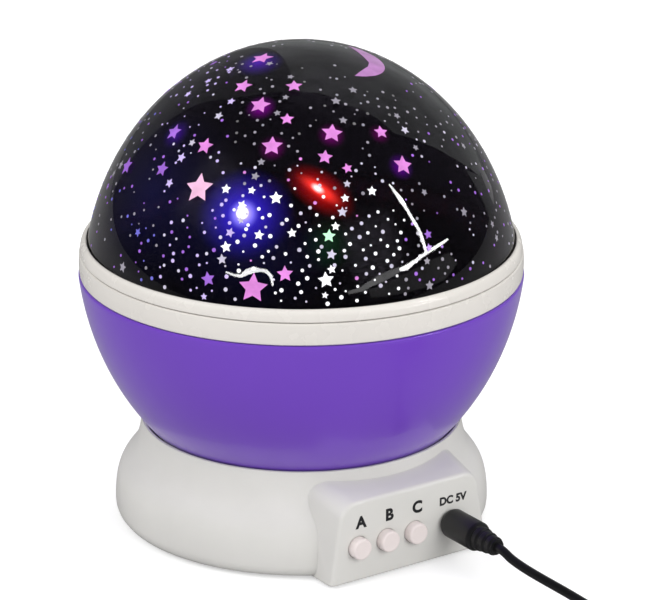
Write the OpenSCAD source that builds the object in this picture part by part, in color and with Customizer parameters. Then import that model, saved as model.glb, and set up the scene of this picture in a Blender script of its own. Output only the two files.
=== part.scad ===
// Star night light: a lamp ball with a dark dome that turns on a round base.
// The axis of the ball is Z, the underside of the feet is z = 0 and the control panel faces -Y.

/* [Base] */
// Largest radius of the base
base_r = 51.9; // [50.5:0.1:56]
// Height at which the base is widest
base_wide_z = 4; // [3:0.5:6]
// Height of the base's bottom edge over the floor
base_lift = 0.8; // [0.5:0.1:1.2]
// Radius of the top rim of the base
rim_r = 44.4; // [44.2:0.1:45.5]
// Height of the top rim
rim_z = 28.4; // [28:0.1:29]
// Wall of the base and of the panel
base_wall = 2.2; // [1.6:0.1:2.4]
// Underside of the deck that carries the motor
deck_z = 15.2; // [14.9:0.1:15.5]
// Thickness of the deck
deck_t = 2; // [1.8:0.1:2.1]
// Radius of the gear chamber
chamber_r = 36; // [33:0.5:36]

/* [Panel] */
// Width of the control panel at its front
panel_w = 46; // [44:0.5:52]
// Height of its front face over the base's bottom edge
panel_h = 22.8; // [20:0.2:23]
// Distance of the front face from the axis
panel_y = 52.2; // [52:0.1:54]
// Rise of its top face towards the ball
panel_rise = 2.8; // [2:0.1:4]
// How far each side leans out towards the bottom
panel_flare = 2.8; // [1.5:0.1:3.5]
// Radius of the upper corners
panel_corner = 5.5; // [3:0.5:7]
// Height of the row of buttons
row_z = 10.4; // [9.4:0.1:10.6]
// Distance between two buttons
button_pitch = 9.2; // [9:0.1:10]
// Place of the middle button along X
button_x = -8; // [-8.4:0.1:-7.6]
// Button diameter
button_d = 6; // [5:0.1:6.4]
// How far a button stands out of the panel
button_proud = 2.5; // [1.5:0.1:3]
// Button travel
button_travel = 0.7; // [0.3:0.05:0.8]

/* [Ball] */
// Equator radius of the bowl's outer curve
bowl_a = 61.6; // [61.3:0.1:62]
// Half height of the bowl's outer curve
bowl_c = 72; // [71.5:0.1:72.5]
// Height of the centre of the bowl's curve
bowl_mid_z = 79.7; // [79.5:0.1:80]
// Wall of the bowl
bowl_wall = 2; // [1.6:0.1:2.4]
// Underside of the bowl
bowl_z = 22.8; // [22.7:0.05:23]
// Top edge of the bowl
bowl_top_z = 70.4; // [69:0.1:70.4]
// Largest radius of the ring around the ball
ring_r = 60.9; // [60.7:0.1:62.4]
// Underside of the ring
ring_z = 70.6; // [70.5:0.1:71]
// Height of the ring's joint, where the dome comes off
ring_split_z = 76.7; // [76:0.1:77]
// Top edge of the ring
ring_top_z = 80.1; // [79.8:0.1:80.6]
// Equator radius of the dome's outer curve
dome_a = 59.8; // [59.4:0.1:60]
// Half height of the dome's outer curve
dome_c = 68.4; // [66:0.2:74]
// Height of the centre of the dome's curve
dome_mid_z = 65.2; // [64.8:0.1:65.6]
// Wall of the dome
dome_wall = 1.8; // [1.4:0.1:2]

/* [Lamp column] */
// Radius of the journal that the ball turns on
journal_r = 6; // [5.8:0.05:6.2]
// Radius of the column's shoulder
shoulder_r = 6.8; // [6.6:0.05:6.8]
// Radius of the column's upper tube
column_r = 5.6; // [5.5:0.05:5.7]
// Bore of the column
column_bore = 3.2; // [2.9:0.1:3.4]
// Underside of the LED board
board_z = 77.4; // [76.8:0.1:78]
// Radius of the LED board
board_r = 27; // [26:0.5:32]
// Thickness of both circuit boards
board_t = 1.6; // [1.2:0.1:1.8]
// LED diameter
led_d = 5; // [3:0.5:5]
// Height of an LED over its board
led_h = 8.6; // [7:0.1:9]

/* [Gears] */
// Gear module
gear_m = 0.5; // [0.5:0.005:0.51]
// Teeth of each pinion
pinion_n = 10; // [10:1:10]
// Teeth of both wheels
wheel_n = 40; // [40:1:40]
// Teeth of the gear under the ball
hub_n = 60; // [60:1:60]
// Face width of the gears
gear_t = 1.5; // [1.3:0.05:1.5]
// Play taken off each tooth
tooth_play = 0.07; // [0.05:0.01:0.1]
// Diameter of the gear axles
axle_d = 1.5; // [1.2:0.1:1.6]
// Diameter of the motor
motor_d = 24; // [22:0.5:24]
// Height of the motor
motor_h = 11.9; // [10:0.1:12]

/* [Battery bay] */
// Length of the bay, for three small round cells
bay_l = 45.6; // [45:0.1:46]
// Width of the bay
bay_w = 31.6; // [31.5:0.1:32]
// Height of the bay
bay_h = 10.7; // [10.6:0.05:11]
// Near side of the bay along Y
bay_y = 8.2; // [8:0.1:8.4]
// Thickness of the battery door
door_t = 1.5; // [1.2:0.1:1.6]

/* [Lead] */
// Diameter of the lead
cord_d = 2.5; // [2:0.1:2.5]
// Place of the jack along X
jack_x = 13.3; // [13:0.1:13.6]
// Diameter of the plug's moulded body
plug_d = 8.2; // [7:0.1:8.4]
// Length of the plug's moulded body
plug_l = 13.5; // [10:0.5:14]
// Length of the plug's ribbed tail
relief_l = 7.5; // [6.5:0.5:8]
// Diameter of the plug's metal barrel
barrel_d = 3.5; // [3:0.1:4]
// Length of the plug's metal barrel
barrel_l = 9.5; // [8:0.5:10]
// Space between neighbouring turns of the coil
coil_gap = 0.5; // [0.45:0.05:0.6]
// Smallest radius of the coil's turns
coil_in_r = 9.5; // [9:0.5:12]

/* [Clearances] */
// Running clearance of a shaft or journal
run_gap = 0.05; // [0.03:0.01:0.08]
// Axial play of a turning piece
end_gap = 0.1; // [0.08:0.01:0.15]
// Gap between the bowl and the base's rim
bowl_gap = 0.5; // [0.4:0.05:0.6]
// Gap around covers and doors
cover_gap = 0.2; // [0.15:0.05:0.3]

/* [Hidden] */
$fn = 96;
eps = 0.01;

// Curves shared by the pieces.
function bezier(a, b, c, d, t) =
    pow(1 - t, 3) * a + 3 * t * pow(1 - t, 2) * b + 3 * t * t * (1 - t) * c + t * t * t * d;
function base_curve(t) = bezier(
    [rim_r, rim_z], [rim_r + 1.1, rim_z - 15.1], [base_r, base_wide_z + 15.9], [base_r, base_wide_z], t
);
function egg_r(a, c, mid, z) = a * sqrt(1 - pow((z - mid) / c, 2));
function bowl_r(z) = egg_r(bowl_a, bowl_c, bowl_mid_z, z);
function dome_r(z) = egg_r(dome_a, dome_c, dome_mid_z, z);
function polar(r, a) = r * [cos(a), sin(a)];

// Heights in the gear chamber, from the deck up.
deck_top = deck_z + deck_t;
layer_gap = 0.2;
layer_a = deck_top + 0.3;
layer_b = layer_a + gear_t + layer_gap;
layer_c = layer_b + gear_t + layer_gap;
bowl_floor_top = bowl_z + bowl_wall;
shoulder_z = layer_c - run_gap;
ring_groove_z = bowl_floor_top + run_gap;
clip_t = 1.2;
clip_r = 9;
groove_r = column_r - 0.4;

// Places of the gear shafts, worked out from the gears' pitch circles.
step_wheel = gear_m * (pinion_n + wheel_n) / 2;
step_hub = gear_m * (pinion_n + hub_n) / 2;
hub_to_2 = 235;
from_2_to_1 = -35;
from_1_to_motor = 20;
gear_2_at = polar(step_hub, hub_to_2);
gear_1_at = gear_2_at + polar(step_wheel, from_2_to_1);
motor_at = gear_1_at + polar(step_wheel, from_1_to_motor);
shaft_d = 2;
motor_boss_r = 3.5;
motor_screw_at = 8.5;

// Heights of the cover, the door and the bay.
cover_t = 2;
cover_z = base_lift;
cover_top = cover_z + cover_t;
cover_r = base_r - 4.3;
door_z = cover_z;
bay_z = door_z + door_t;
bay_wall = 1;
bay_top = bay_z + bay_h + bay_wall;
hinge_z = door_z + door_t / 2;
hinge_y = bay_y + door_t / 2 + cover_gap;
hinge_pin_d = 1;
door_far_y = bay_y + bay_w - cover_gap;
door_tab_l = 5;
door_screw_y = bay_y + bay_w + 1.4;
door_boss_r = 3;
door_boss_top = cover_top + 5;
boss_in = 10.9;
boss_r = 3;
boss_at = [for (a = [0, 180, 237, 299]) polar(base_r - boss_in, a)];
foot_in = 11.4;
feet_at = [for (a = [30, 150, 215, 325]) polar(base_r - foot_in, a)];
foot_r = 4.5;
foot_sink = 0.4;
screw_d = 2.2;
screw_head_r = 2.3;

// Places behind the panel.
panel_in = panel_y - base_wall;
hollow_w = panel_w / 2 - base_wall + panel_flare / 3;
board_y = 44.5;
board_w = 40;
board_bottom = 3.6;
post_z = row_z + 5.6;
post_at = [for (x = [-17.5, 17.5]) [x, post_z]];
board_h = post_z + 1.7 - board_bottom;
post_r = 1.9;
board_screw_l = 3.5;
button_at = [button_x - button_pitch, button_x, button_x + button_pitch];
collar_t = 0.8;
switch_w = 6;
switch_front = 47.2;
plunger_r = 1.6;
plunger_l = 1.6;

// Ring, dome and skirt.
bowl_bevel = 0.4;
skirt_r = 56;
skirt_wall = 1.8;
ledge_z = ring_z + 2.6;
seat_z = ring_top_z - 1.5;

// Lead: hand-chosen points from the plug's tail to the coil.
tail_y = panel_y + plug_l + relief_l;
coil_lift = 0.9;
coil_pitch = cord_d + coil_gap;
coil_layers = 4;
turns_in_layer = 3;
coil_turns = coil_layers * turns_in_layer;
coil_out_r = coil_in_r + turns_in_layer * coil_pitch;
coil_z = coil_lift + cord_d / 2;
cord_x = 22;
coil_y = 150;
coil_at = [cord_x + coil_out_r, -coil_y];
usb_z = 4;
usb_gap_y = 25;
usb_x = 17;
lead_from = [jack_x, -tail_y, row_z];
lead_drop = [
    [0, -1, 0], [0, -2, 0], [0.15, -3.6, -0.45], [0.5, -5.8, -1.4], [1.2, -9.4, -2.4],
    [2.4, -13.4, -3.5], [4.1, -17.8, -4.8], [6.1, -22.8, -6.3]
];
lead_route = [
    lead_from,
    for (p = lead_drop) lead_from + p,
    [20.9, -103, 2.8],
    [21.6, -112, coil_z],
    [21.9, -122, coil_z],
    [cord_x, -133, coil_z],
    [cord_x, -143, coil_z],
    [cord_x, -147.5, coil_z]
];

// A tube swept along points, as one closed surface with flat ends.
function unit(v) = v / norm(v);
function run_at(p, i) = unit(p[min(i + 1, len(p) - 1)] - p[max(i - 1, 0)]);
function side_of(t) = abs(t[2]) > 0.9 ? unit(cross(t, [0, 1, 0])) : unit(cross(t, [0, 0, 1]));
function ring_of(p, i, r, n) =
    let (t = run_at(p, i), u = side_of(t), v = cross(u, t))
    [for (k = [0 : n - 1]) p[i] + r * (cos(360 * k / n) * u + sin(360 * k / n) * v)];
module sweep(p, r, n) {
    rings = len(p);
    polyhedron(
        points = [for (i = [0 : rings - 1]) each ring_of(p, i, r, n)],
        faces = concat(
            [for (k = [1 : n - 2]) [0, k, k + 1]],
            [for (i = [0 : rings - 2], k = [0 : n - 1]) each [
                [i * n + k, (i + 1) * n + k, i * n + (k + 1) % n],
                [(i + 1) * n + k, (i + 1) * n + (k + 1) % n, i * n + (k + 1) % n]
            ]],
            [for (k = [1 : n - 2]) let (b = (rings - 1) * n) [b, b + k + 1, b + k]]
        )
    );
}
// A smooth line through points, with a given number of steps between two of them.
function spline_at(p, i, t) =
    let (a = p[max(i - 1, 0)], b = p[i], c = p[i + 1], d = p[min(i + 2, len(p) - 1)])
    0.5 * (2 * b + (c - a) * t + (2 * a - 5 * b + 4 * c - d) * t * t
        + (3 * b - a - 3 * c + d) * t * t * t);
function smooth(p, steps) = concat(
    [for (i = [0 : len(p) - 2], s = [0 : steps - 1]) spline_at(p, i, s / steps)], [p[len(p) - 1]]
);

// The coil spirals in and out again, layer on layer, and climbs where the spiral turns back.
function coil_radius(t) =
    let (layer = min(floor(t / turns_in_layer), coil_layers - 1), s = t - layer * turns_in_layer)
    layer % 2 == 0 ? coil_out_r - s * coil_pitch : coil_in_r + s * coil_pitch;
function climb(t, at) = min(max((t - at) * 2 + 0.5, 0), 1);
function coil_height(t) =
    coil_z + coil_pitch * (climb(t, turns_in_layer) + climb(t, 2 * turns_in_layer)
        + climb(t, 3 * turns_in_layer));
function coil_point(t) =
    [each (coil_at + polar(coil_radius(t), 180 + 360 * t)), coil_height(t)];
coil_rings = 24;
coil_start = [for (y = [-147.5, -148.75]) [cord_x, y, coil_z]];
coil_turn_points = [for (i = [0 : coil_rings * coil_turns]) coil_point(i / coil_rings)];
usb_tail_y = coil_y + usb_gap_y;
coil_top_z = coil_height(coil_turns);
function ease(s) = s <= 0 ? 0 : 3 * s * s - 2 * s * s * s;
coil_tail = [
    for (s = [0.1 : 0.1 : 1]) [
        cord_x + (usb_x - cord_x) * ease(s),
        -coil_y - s * (usb_gap_y - cord_d),
        coil_top_z + (usb_z - coil_top_z) * ease((s - 0.2) / 0.8)
    ],
    [usb_x, -usb_tail_y, usb_z]
];
coil_line = concat(coil_start, coil_turn_points, coil_tail);
// Least distance between turns, measured on points at least three quarters of a turn apart.
coil_least = min([
    for (i = [0 : len(coil_line) - 1 - 18], j = [i + 18 : len(coil_line) - 1])
        norm(coil_line[i] - coil_line[j])
]);
echo(coil_self_gap_mm = coil_least - cord_d);

// Helpers.
module rod_y(x, z, y0, y1, r) { translate([x, y0, z]) rotate([-90, 0, 0]) cylinder(h = y1 - y0, r = r); }
module rod_x(x0, x1, y, z, r) { translate([x0, y, z]) rotate([0, 90, 0]) cylinder(h = x1 - x0, r = r); }
module rod_z(p, z0, z1, r) { translate([p[0], p[1], z0]) cylinder(h = z1 - z0, r = r); }
module box(lo, hi) { translate(lo) cube(hi - lo); }

// Base.
module base_outline() {
    polygon(concat(
        [[0, base_lift], [base_r - 1.9, base_lift], [base_r - 0.7, base_lift + 0.7],
            [base_r - 0.15, base_lift + 1.8]],
        [for (t = [1 : -0.0833333 : 0]) base_curve(t)],
        [[rim_r - 0.1, rim_z], [0, rim_z]]
    ));
}
// The hollow under the deck, a wall inside the outer curve.
module base_hollow() {
    inner = [for (t = [1 : -0.0833333 : 0.25]) base_curve(t) - [base_wall, 0]];
    polygon(concat(
        [[0, base_lift - 1], [cover_r + cover_gap, base_lift - 1], [cover_r + cover_gap, cover_top]],
        [for (p = inner) if (p[1] < deck_z + 5.5 && p[1] > cover_top + 0.2) p],
        [[chamber_r + 5, deck_z + 5.5], [chamber_r + 2.4, deck_z], [0, deck_z]]
    ));
}
// The gear chamber and the dish that the ball turns in.
module dish() {
    heights = [for (z = [bowl_z + 0.2 : 1.1 : rim_z + 1]) z];
    polygon(concat(
        [[0, deck_top], [chamber_r, deck_top], [bowl_r(heights[0]) + bowl_gap, heights[0]]],
        [for (z = heights) [bowl_r(z) + bowl_gap, z]],
        [[bowl_r(rim_z + 1) + bowl_gap, rim_z + 3], [0, rim_z + 3]]
    ));
}
// A plate with two rounded upper corners and a wider foot, standing across Y.
module arched_plate(y, half_w, flare, bottom, top, corner) {
    for (side = [-1, 1]) {
        rod_y(side * (half_w - corner), top - corner, y, y + 0.4, corner, $fn = 32);
    }
    box([-half_w - flare, y, bottom], [half_w + flare, y + 0.4, bottom + 1]);
}
module panel_solid() {
    soft = 0.8;
    top = base_lift + panel_h;
    wider = 1.4;
    hull() {
        arched_plate(
            -panel_y, panel_w / 2 - soft, panel_flare, base_lift, top - soft, panel_corner - soft, $fn = 32
        );
        arched_plate(-panel_y + soft, panel_w / 2, panel_flare, base_lift, top, panel_corner, $fn = 32);
        arched_plate(
            -rim_r + 7, panel_w / 2 + wider, panel_flare - wider, base_lift, top + panel_rise,
            panel_corner + 0.5, $fn = 32
        );
    }
}
module panel_hollow() {
    half_w = panel_w / 2 - base_wall;
    hull() {
        box([-half_w, -panel_in, base_lift - 1], [half_w, -panel_in + 1, base_lift + panel_h - base_wall]);
        box([-hollow_w, -panel_in, base_lift - 1], [hollow_w, -panel_in + 1, row_z + 4.2]);
        box([-hollow_w, -chamber_r - 1, base_lift - 1], [hollow_w, -chamber_r, deck_z]);
    }
}
// All that lies beyond y in front of the base, where the panel's flat face ends it.
module beyond(y) { box([-2 * base_r, -2 * base_r, -1], [2 * base_r, y, rim_z + 1]); }
module base_housing() {
    color("gainsboro") difference() {
        union() {
            rotate_extrude() base_outline();
            panel_solid();
        }
        beyond(-panel_y);
        // Room for the battery bay and for the boss of the door's screw.
        rod_z([0, door_screw_y], cover_z - 1, door_boss_top, door_boss_r + cover_gap);
        box([-bay_l / 2 - bay_wall - cover_gap, bay_y - bay_wall, cover_z - 1],
            [bay_l / 2 + bay_wall + cover_gap, bay_y + bay_w + bay_wall + cover_gap, bay_top]);
        difference() {
            union() {
                rotate_extrude() base_hollow();
                panel_hollow();
            }
            beyond(-panel_in);
            for (p = boss_at) rod_z(p, cover_top, rim_z, boss_r);
            for (p = post_at) rod_y(p[0], p[1], -panel_y + 1, -board_y, post_r);
        }
        rotate_extrude() dish();
        for (p = boss_at) rod_z(p, cover_top - 1, cover_top + 7, screw_d / 2);
        for (p = post_at) rod_y(p[0], p[1], -board_y - board_screw_l - 0.5, -board_y + 1, 0.8);
        for (x = button_at) rod_y(x, row_z, -panel_y - 1, -panel_in + 1, button_d / 2 + run_gap);
        rod_y(jack_x, row_z, -panel_y - 1, -panel_in + 1, jack_nose_r + cover_gap);
        rod_z([0, 0], deck_z - 1, deck_top + 1, column_foot_r);
        rod_z(motor_at, deck_z - 1, deck_top + 1, motor_boss_r);
        for (p = motor_screws_at) {
            rod_z(p, deck_z - 1, deck_top + 1, 1);
            rod_z(p, deck_top - 1, deck_top + 1, 1.9);
        }
        for (p = [gear_1_at, gear_2_at]) rod_z(p, deck_z + 0.5, deck_top + 1, axle_d / 2);
    }
}
jack_nose_r = 2.9;
column_foot_r = 5;
nut_h = 2.8;
nut_r = 6.8;
flange_r = 11;
motor_screws_at = [for (a = [110, 290]) motor_at + polar(motor_screw_at, a)];

module bottom_cover() {
    color("lightgray") difference() {
        union() {
            difference() {
                rod_z([0, 0], cover_z, cover_top, cover_r);
                beyond(-panel_in + cover_gap);
            }
            box([-bay_l / 2 - bay_wall, bay_y - bay_wall, cover_z],
                [bay_l / 2 + bay_wall, bay_y + bay_w + bay_wall, bay_top]);
            rod_z([0, door_screw_y], cover_z, door_boss_top, door_boss_r);
            box([-hollow_w + cover_gap, -panel_in + cover_gap, cover_z],
                [hollow_w - cover_gap, -chamber_r, cover_top]);
        }
        box([-bay_l / 2, bay_y, bay_z], [bay_l / 2, bay_y + bay_w, bay_z + bay_h]);
        box([-bay_l / 2, bay_y, cover_z - 1], [bay_l / 2, bay_y + bay_w, bay_z + 1]);
        // Room for the door's tab and its captive screw.
        box([-door_tab_l - cover_gap, bay_y, cover_z - 1],
            [door_tab_l + cover_gap, door_screw_y + 2.6 + cover_gap, bay_z]);
        rod_z([0, door_screw_y], cover_z, cover_top + 4, screw_d / 2 + 0.35);
        rod_x(-bay_l / 2 - 1.6, bay_l / 2 + 1.6, hinge_y, hinge_z, hinge_pin_d / 2);
        for (p = boss_at) {
            rod_z(p, cover_z - 1, cover_top + 1, screw_d / 2);
            rod_z(p, cover_z - 1, cover_z + 1, screw_head_r);
        }
        for (p = feet_at) rod_z(p, cover_z - 1, cover_z + foot_sink, foot_r);
    }
}
module rubber_feet() {
    color("dimgray") for (p = feet_at) rod_z(p, 0, cover_z + foot_sink, foot_r);
}
module cover_screws() {
    color("silver") for (p = boss_at) difference() {
        union() {
            rod_z(p, cover_z, cover_z + 1, screw_head_r);
            rod_z(p, cover_z, cover_top + 6, screw_d / 2);
        }
        for (turn = [0, 90]) translate([p[0], p[1], cover_z]) rotate([0, 0, turn])
            cube([2.4, 0.5, 1], center = true);
    }
}

// Electrics behind the panel.
module control_board() {
    color("darkgreen") difference() {
        box([-board_w / 2, -board_y, board_bottom],
            [board_w / 2, -board_y + board_t, board_bottom + board_h]);
        for (p = post_at) rod_y(p[0], p[1], -board_y - 1, -board_y + board_t + 1, 0.8);
        jack_neck(2);
    }
}
// The jack's narrow part, which passes through the board.
module jack_neck(longer) {
    box([jack_x - 2.6, -board_y - longer, row_z - 2.2],
        [jack_x + 2.6, -board_y + board_t + longer, row_z + 2.2]);
}
module board_screws() {
    color("silver") for (p = post_at) {
        rod_y(p[0], p[1], -board_y - board_screw_l, -board_y + board_t + eps, 0.8);
        rod_y(p[0], p[1], -board_y + board_t, -board_y + board_t + 1, 1.6);
    }
}
module switch_bodies() {
    color("dimgray") for (x = button_at) difference() {
        box([x - switch_w / 2, -switch_front, row_z - switch_w / 2],
            [x + switch_w / 2, -board_y, row_z + switch_w / 2]);
        rod_y(x, row_z, -switch_front - 1, -board_y - 0.4, plunger_r + 0.08);
    }
}
module button(x) {
    color("ivory") {
        rod_y(x, row_z, -panel_y - button_proud + 0.5, -panel_in + eps, button_d / 2);
        translate([x, -panel_y - button_proud + 0.5, row_z]) rotate([90, 0, 0])
            cylinder(h = 0.5, r1 = button_d / 2, r2 = button_d / 2 - 0.5);
        rod_y(x, row_z, -panel_in, -panel_in + collar_t, button_d / 2 + 0.7);
        rod_y(x, row_z, -panel_in + collar_t - eps, -switch_front + plunger_l - button_travel, plunger_r);
    }
}
module button_a() { button(button_at[0]); }
module button_b() { button(button_at[1]); }
module button_c() { button(button_at[2]); }
module dc_jack() {
    color("dimgray") difference() {
        union() {
            box([jack_x - 4.4, -panel_in + eps, row_z - 3.4], [jack_x + 4.4, -board_y, row_z + 3.4]);
            rod_y(jack_x, row_z, -panel_y, -panel_in + 1, jack_nose_r);
            box([jack_x - 3.4, -board_y + board_t, row_z - 2.4],
                [jack_x + 3.4, -board_y + board_t + 3, row_z + 2.4]);
            jack_neck(1);
        }
        rod_y(jack_x, row_z, -panel_y - 1, -panel_y + barrel_l + 0.4, barrel_d / 2 + run_gap);
    }
}
module wire(points) { sweep(points, 0.45, 6); }
wire_way = 251;
wire_heading = polar(1, wire_way);
wire_pitch = 0.95;
// The wires turn towards the board this far behind it.
wire_turn = 4.5;
module wiring() {
    // Five wires run down the column and forward to the control board.
    for (i = [0 : 4]) {
        off = wire_pitch * (i - 2);
        low = 7 + wire_pitch * i;
        start = off * wire_heading;
        turn = (off + 1) * wire_heading;
        end = -(board_y - board_t - wire_turn) / sin(wire_way) * wire_heading;
        color(["royalblue", "red", "green", "white", "black"][i]) wire([
            [start[0], start[1], board_z],
            [start[0], start[1], low + 1],
            [turn[0] - 0.7 * wire_heading[0], turn[1] - 0.7 * wire_heading[1], low + 0.3],
            [turn[0], turn[1], low],
            [end[0], end[1], low],
            [end[0], -board_y + board_t, low]
        ]);
    }
}

// Motor, shafts and gears.
motor_top = deck_z;
motor_z = motor_top - motor_h;
module motor() {
    color("silver") difference() {
        union() {
            rod_z(motor_at, motor_z, motor_top, motor_d / 2);
            rod_z(motor_at, motor_z, deck_top - 0.6, motor_boss_r);
        }
        rod_z(motor_at, motor_z + 2, deck_top, shaft_d / 2 + run_gap);
        for (p = motor_screws_at) rod_z(p, motor_top - 3, motor_top + 1, 1);
    }
}
module motor_screws() {
    color("gray") for (p = motor_screws_at) {
        rod_z(p, motor_top - 3, deck_top - 1, 1);
        rod_z(p, deck_top - 1, deck_top, 1.9);
    }
}
module motor_shaft() {
    color("silver") rod_z(motor_at, motor_z + 2 + end_gap, layer_a + gear_t + 0.3, shaft_d / 2);
}
function inv(a) = tan(a) * 180 / PI - a;
// Half the angle that a tooth covers at radius r.
function tooth_half(n, r) =
    let (pitch_r = gear_m * n / 2, base = pitch_r * cos(20))
    ((PI * gear_m - 2 * tooth_play) / 4 / pitch_r) * 180 / PI + inv(20) - inv(acos(base / max(r, base)));
module gear_outline(n, out, first) {
    pitch_r = gear_m * n / 2;
    tip = pitch_r + out * gear_m;
    root = pitch_r - 1.2 * gear_m;
    radii = [for (k = [0 : 3]) root + (tip - root) * k / 3];
    polygon([
        for (k = [0 : n - 1]) each concat(
            [for (r = radii) polar(r, first + 360 * k / n - tooth_half(n, r))],
            [for (j = [3 : -1 : 0]) polar(radii[j], first + 360 * k / n + tooth_half(n, radii[j]))]
        )
    ]);
}
module spur(at, z, h, n, out, first) {
    translate([at[0], at[1], z]) linear_extrude(height = h) gear_outline(n, out, first);
}
pinion_out = 1;
wheel_out = 0.6;
half_tooth = 180 / wheel_n;
module motor_pinion() {
    color("goldenrod") difference() {
        spur(motor_at, layer_a, gear_t, pinion_n, pinion_out, from_1_to_motor + 180);
        rod_z(motor_at, layer_a - 1, layer_a + gear_t + 1, shaft_d / 2);
    }
}
// A wheel and a pinion in one, running on a fixed axle.
module stacked_gear(at, z, wheel_towards, pinion_towards) {
    color("white") difference() {
        union() {
            spur(at, z, gear_t, wheel_n, wheel_out, wheel_towards + half_tooth);
            rod_z(at, z, z + gear_t + layer_gap, 1.6);
            spur(at, z + gear_t + layer_gap, gear_t, pinion_n, pinion_out, pinion_towards);
        }
        rod_z(at, z - 1, z + 3 * gear_t, axle_d / 2 + run_gap);
    }
}
module gear_1() { stacked_gear(gear_1_at, layer_a, from_1_to_motor, from_2_to_1 + 180); }
module gear_2() { stacked_gear(gear_2_at, layer_b, from_2_to_1, hub_to_2 + 180); }
module gear_axles() {
    color("silver") {
        rod_z(gear_1_at, deck_z + 0.5, layer_b + gear_t, axle_d / 2);
        rod_z(gear_2_at, deck_z + 0.5, layer_c + gear_t, axle_d / 2);
        // Collars hold each gear at its height.
        rod_z(gear_1_at, deck_top, layer_a - end_gap, 1.6);
        rod_z(gear_2_at, deck_top, layer_b - end_gap, 1.6);
    }
}
hub_screw_at = [for (a = [0, 120, 240]) polar(12, a + 25)];
module hub_gear() {
    color("white") difference() {
        spur([0, 0], layer_c, bowl_z - layer_c, hub_n, wheel_out, hub_to_2 + 180 / hub_n);
        rod_z([0, 0], layer_c - 1, bowl_z + 1, journal_r + run_gap);
        for (p = hub_screw_at) rod_z(p, layer_c + 0.4, bowl_z + 1, 1);
    }
}
module hub_screws() {
    color("silver") for (p = hub_screw_at) {
        rod_z(p, layer_c + 0.6, bowl_floor_top, 1);
        rod_z(p, bowl_floor_top, bowl_floor_top + 1.2, 1.9);
    }
}

// Column, LED board and LEDs: they stand still while the ball turns round them.
module column() {
    color("white") difference() {
        union() {
            rod_z([0, 0], deck_z - nut_h - 0.2, deck_top, column_foot_r);
            rod_z([0, 0], deck_top, shoulder_z, shoulder_r);
            rod_z([0, 0], shoulder_z, ring_groove_z, journal_r);
            rod_z([0, 0], ring_groove_z, ring_groove_z + clip_t, groove_r);
            rod_z([0, 0], ring_groove_z + clip_t, board_z - 2, column_r);
            rod_z([0, 0], board_z - 2, board_z, flange_r);
        }
        rod_z([0, 0], deck_z - 4, board_z + 1, column_bore);
    }
}
module column_nut() {
    color("white") difference() {
        translate([0, 0, deck_z - nut_h]) cylinder(h = nut_h, r = nut_r, $fn = 6);
        rod_z([0, 0], deck_z - 4, deck_z + 1, column_foot_r);
    }
}
module column_ring() {
    color("silver") difference() {
        rod_z([0, 0], ring_groove_z, ring_groove_z + clip_t, clip_r);
        rod_z([0, 0], ring_groove_z - 1, ring_groove_z + clip_t + 1, groove_r);
        box([-groove_r + 0.6, 0, ring_groove_z - 1],
            [groove_r - 0.6, clip_r + 1, ring_groove_z + clip_t + 1]);
    }
}
module led_board() {
    color("white") difference() {
        rod_z([0, 0], board_z, board_z + board_t, board_r);
        for (i = [-2 : 2]) rod_z(wire_pitch * i * wire_heading, board_z - 1, board_z + board_t + 1, 0.3);
    }
}
led_places = [[-12, 13], [17, 15.5], [-5, -21], [14, -13]];
module led(i, tint) {
    top = board_z + board_t;
    color(tint) {
        rod_z(led_places[i], top, top + 1, led_d / 2 + 0.4);
        rod_z(led_places[i], top + 1 - eps, top + led_h - led_d / 2, led_d / 2);
        translate([led_places[i][0], led_places[i][1], top + led_h - led_d / 2]) sphere(r = led_d / 2);
    }
}
module led_blue() { led(0, "royalblue"); }
module led_red() { led(1, "red"); }
module led_green() { led(2, "limegreen"); }
module led_white() { led(3, "cornsilk"); }

// Ball: bowl, ring and deck.
module bowl() {
    bevel_z = bowl_top_z - bowl_bevel;
    outer = concat(
        [for (z = [bowl_z : 3 : bevel_z - 1]) [bowl_r(z), z]],
        [[bowl_r(bevel_z), bevel_z], [bowl_r(bowl_top_z) - bowl_bevel, bowl_top_z]]
    );
    inner = [for (z = [bowl_floor_top : 3 : bowl_top_z]) [bowl_r(z) - bowl_wall, z]];
    color("mediumslateblue") difference() {
        rotate_extrude() polygon(concat(
            outer,
            [[bowl_r(bowl_top_z) - bowl_wall, bowl_top_z]],
            [for (k = [len(inner) - 1 : -1 : 0]) inner[k]],
            [[journal_r + cover_gap, bowl_floor_top], [journal_r + cover_gap, bowl_z]]
        ));
        for (p = hub_screw_at) rod_z(p, bowl_z - 1, bowl_floor_top + 1, 1);
    }
}
spigot_h = 3;
spigot_r = bowl_r(ring_z - spigot_h) - bowl_wall - cover_gap / 2;
module lower_ring() {
    split = ring_split_z - 0.1;
    color("white") rotate_extrude() polygon([
        [spigot_r - 2, ring_z - spigot_h], [spigot_r, ring_z - spigot_h], [spigot_r, ring_z],
        [ring_r - 0.3, ring_z], [ring_r - 0.1, ring_z + 0.8], [ring_r, ring_z + 2.6],
        [ring_r - 0.05, ring_z + 4.6], [ring_r - 0.3, split], [skirt_r + run_gap, split],
        [skirt_r + run_gap, ledge_z], [skirt_r - 4, ledge_z], [skirt_r - 4, ledge_z - 2]
    ]);
}
module reflector_deck() {
    color("whitesmoke") difference() {
        rod_z([0, 0], ledge_z, ledge_z + 1.2, skirt_r - skirt_wall - 0.5);
        rod_z([0, 0], ledge_z - 1, ledge_z + 2, flange_r + 2);
    }
}

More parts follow.
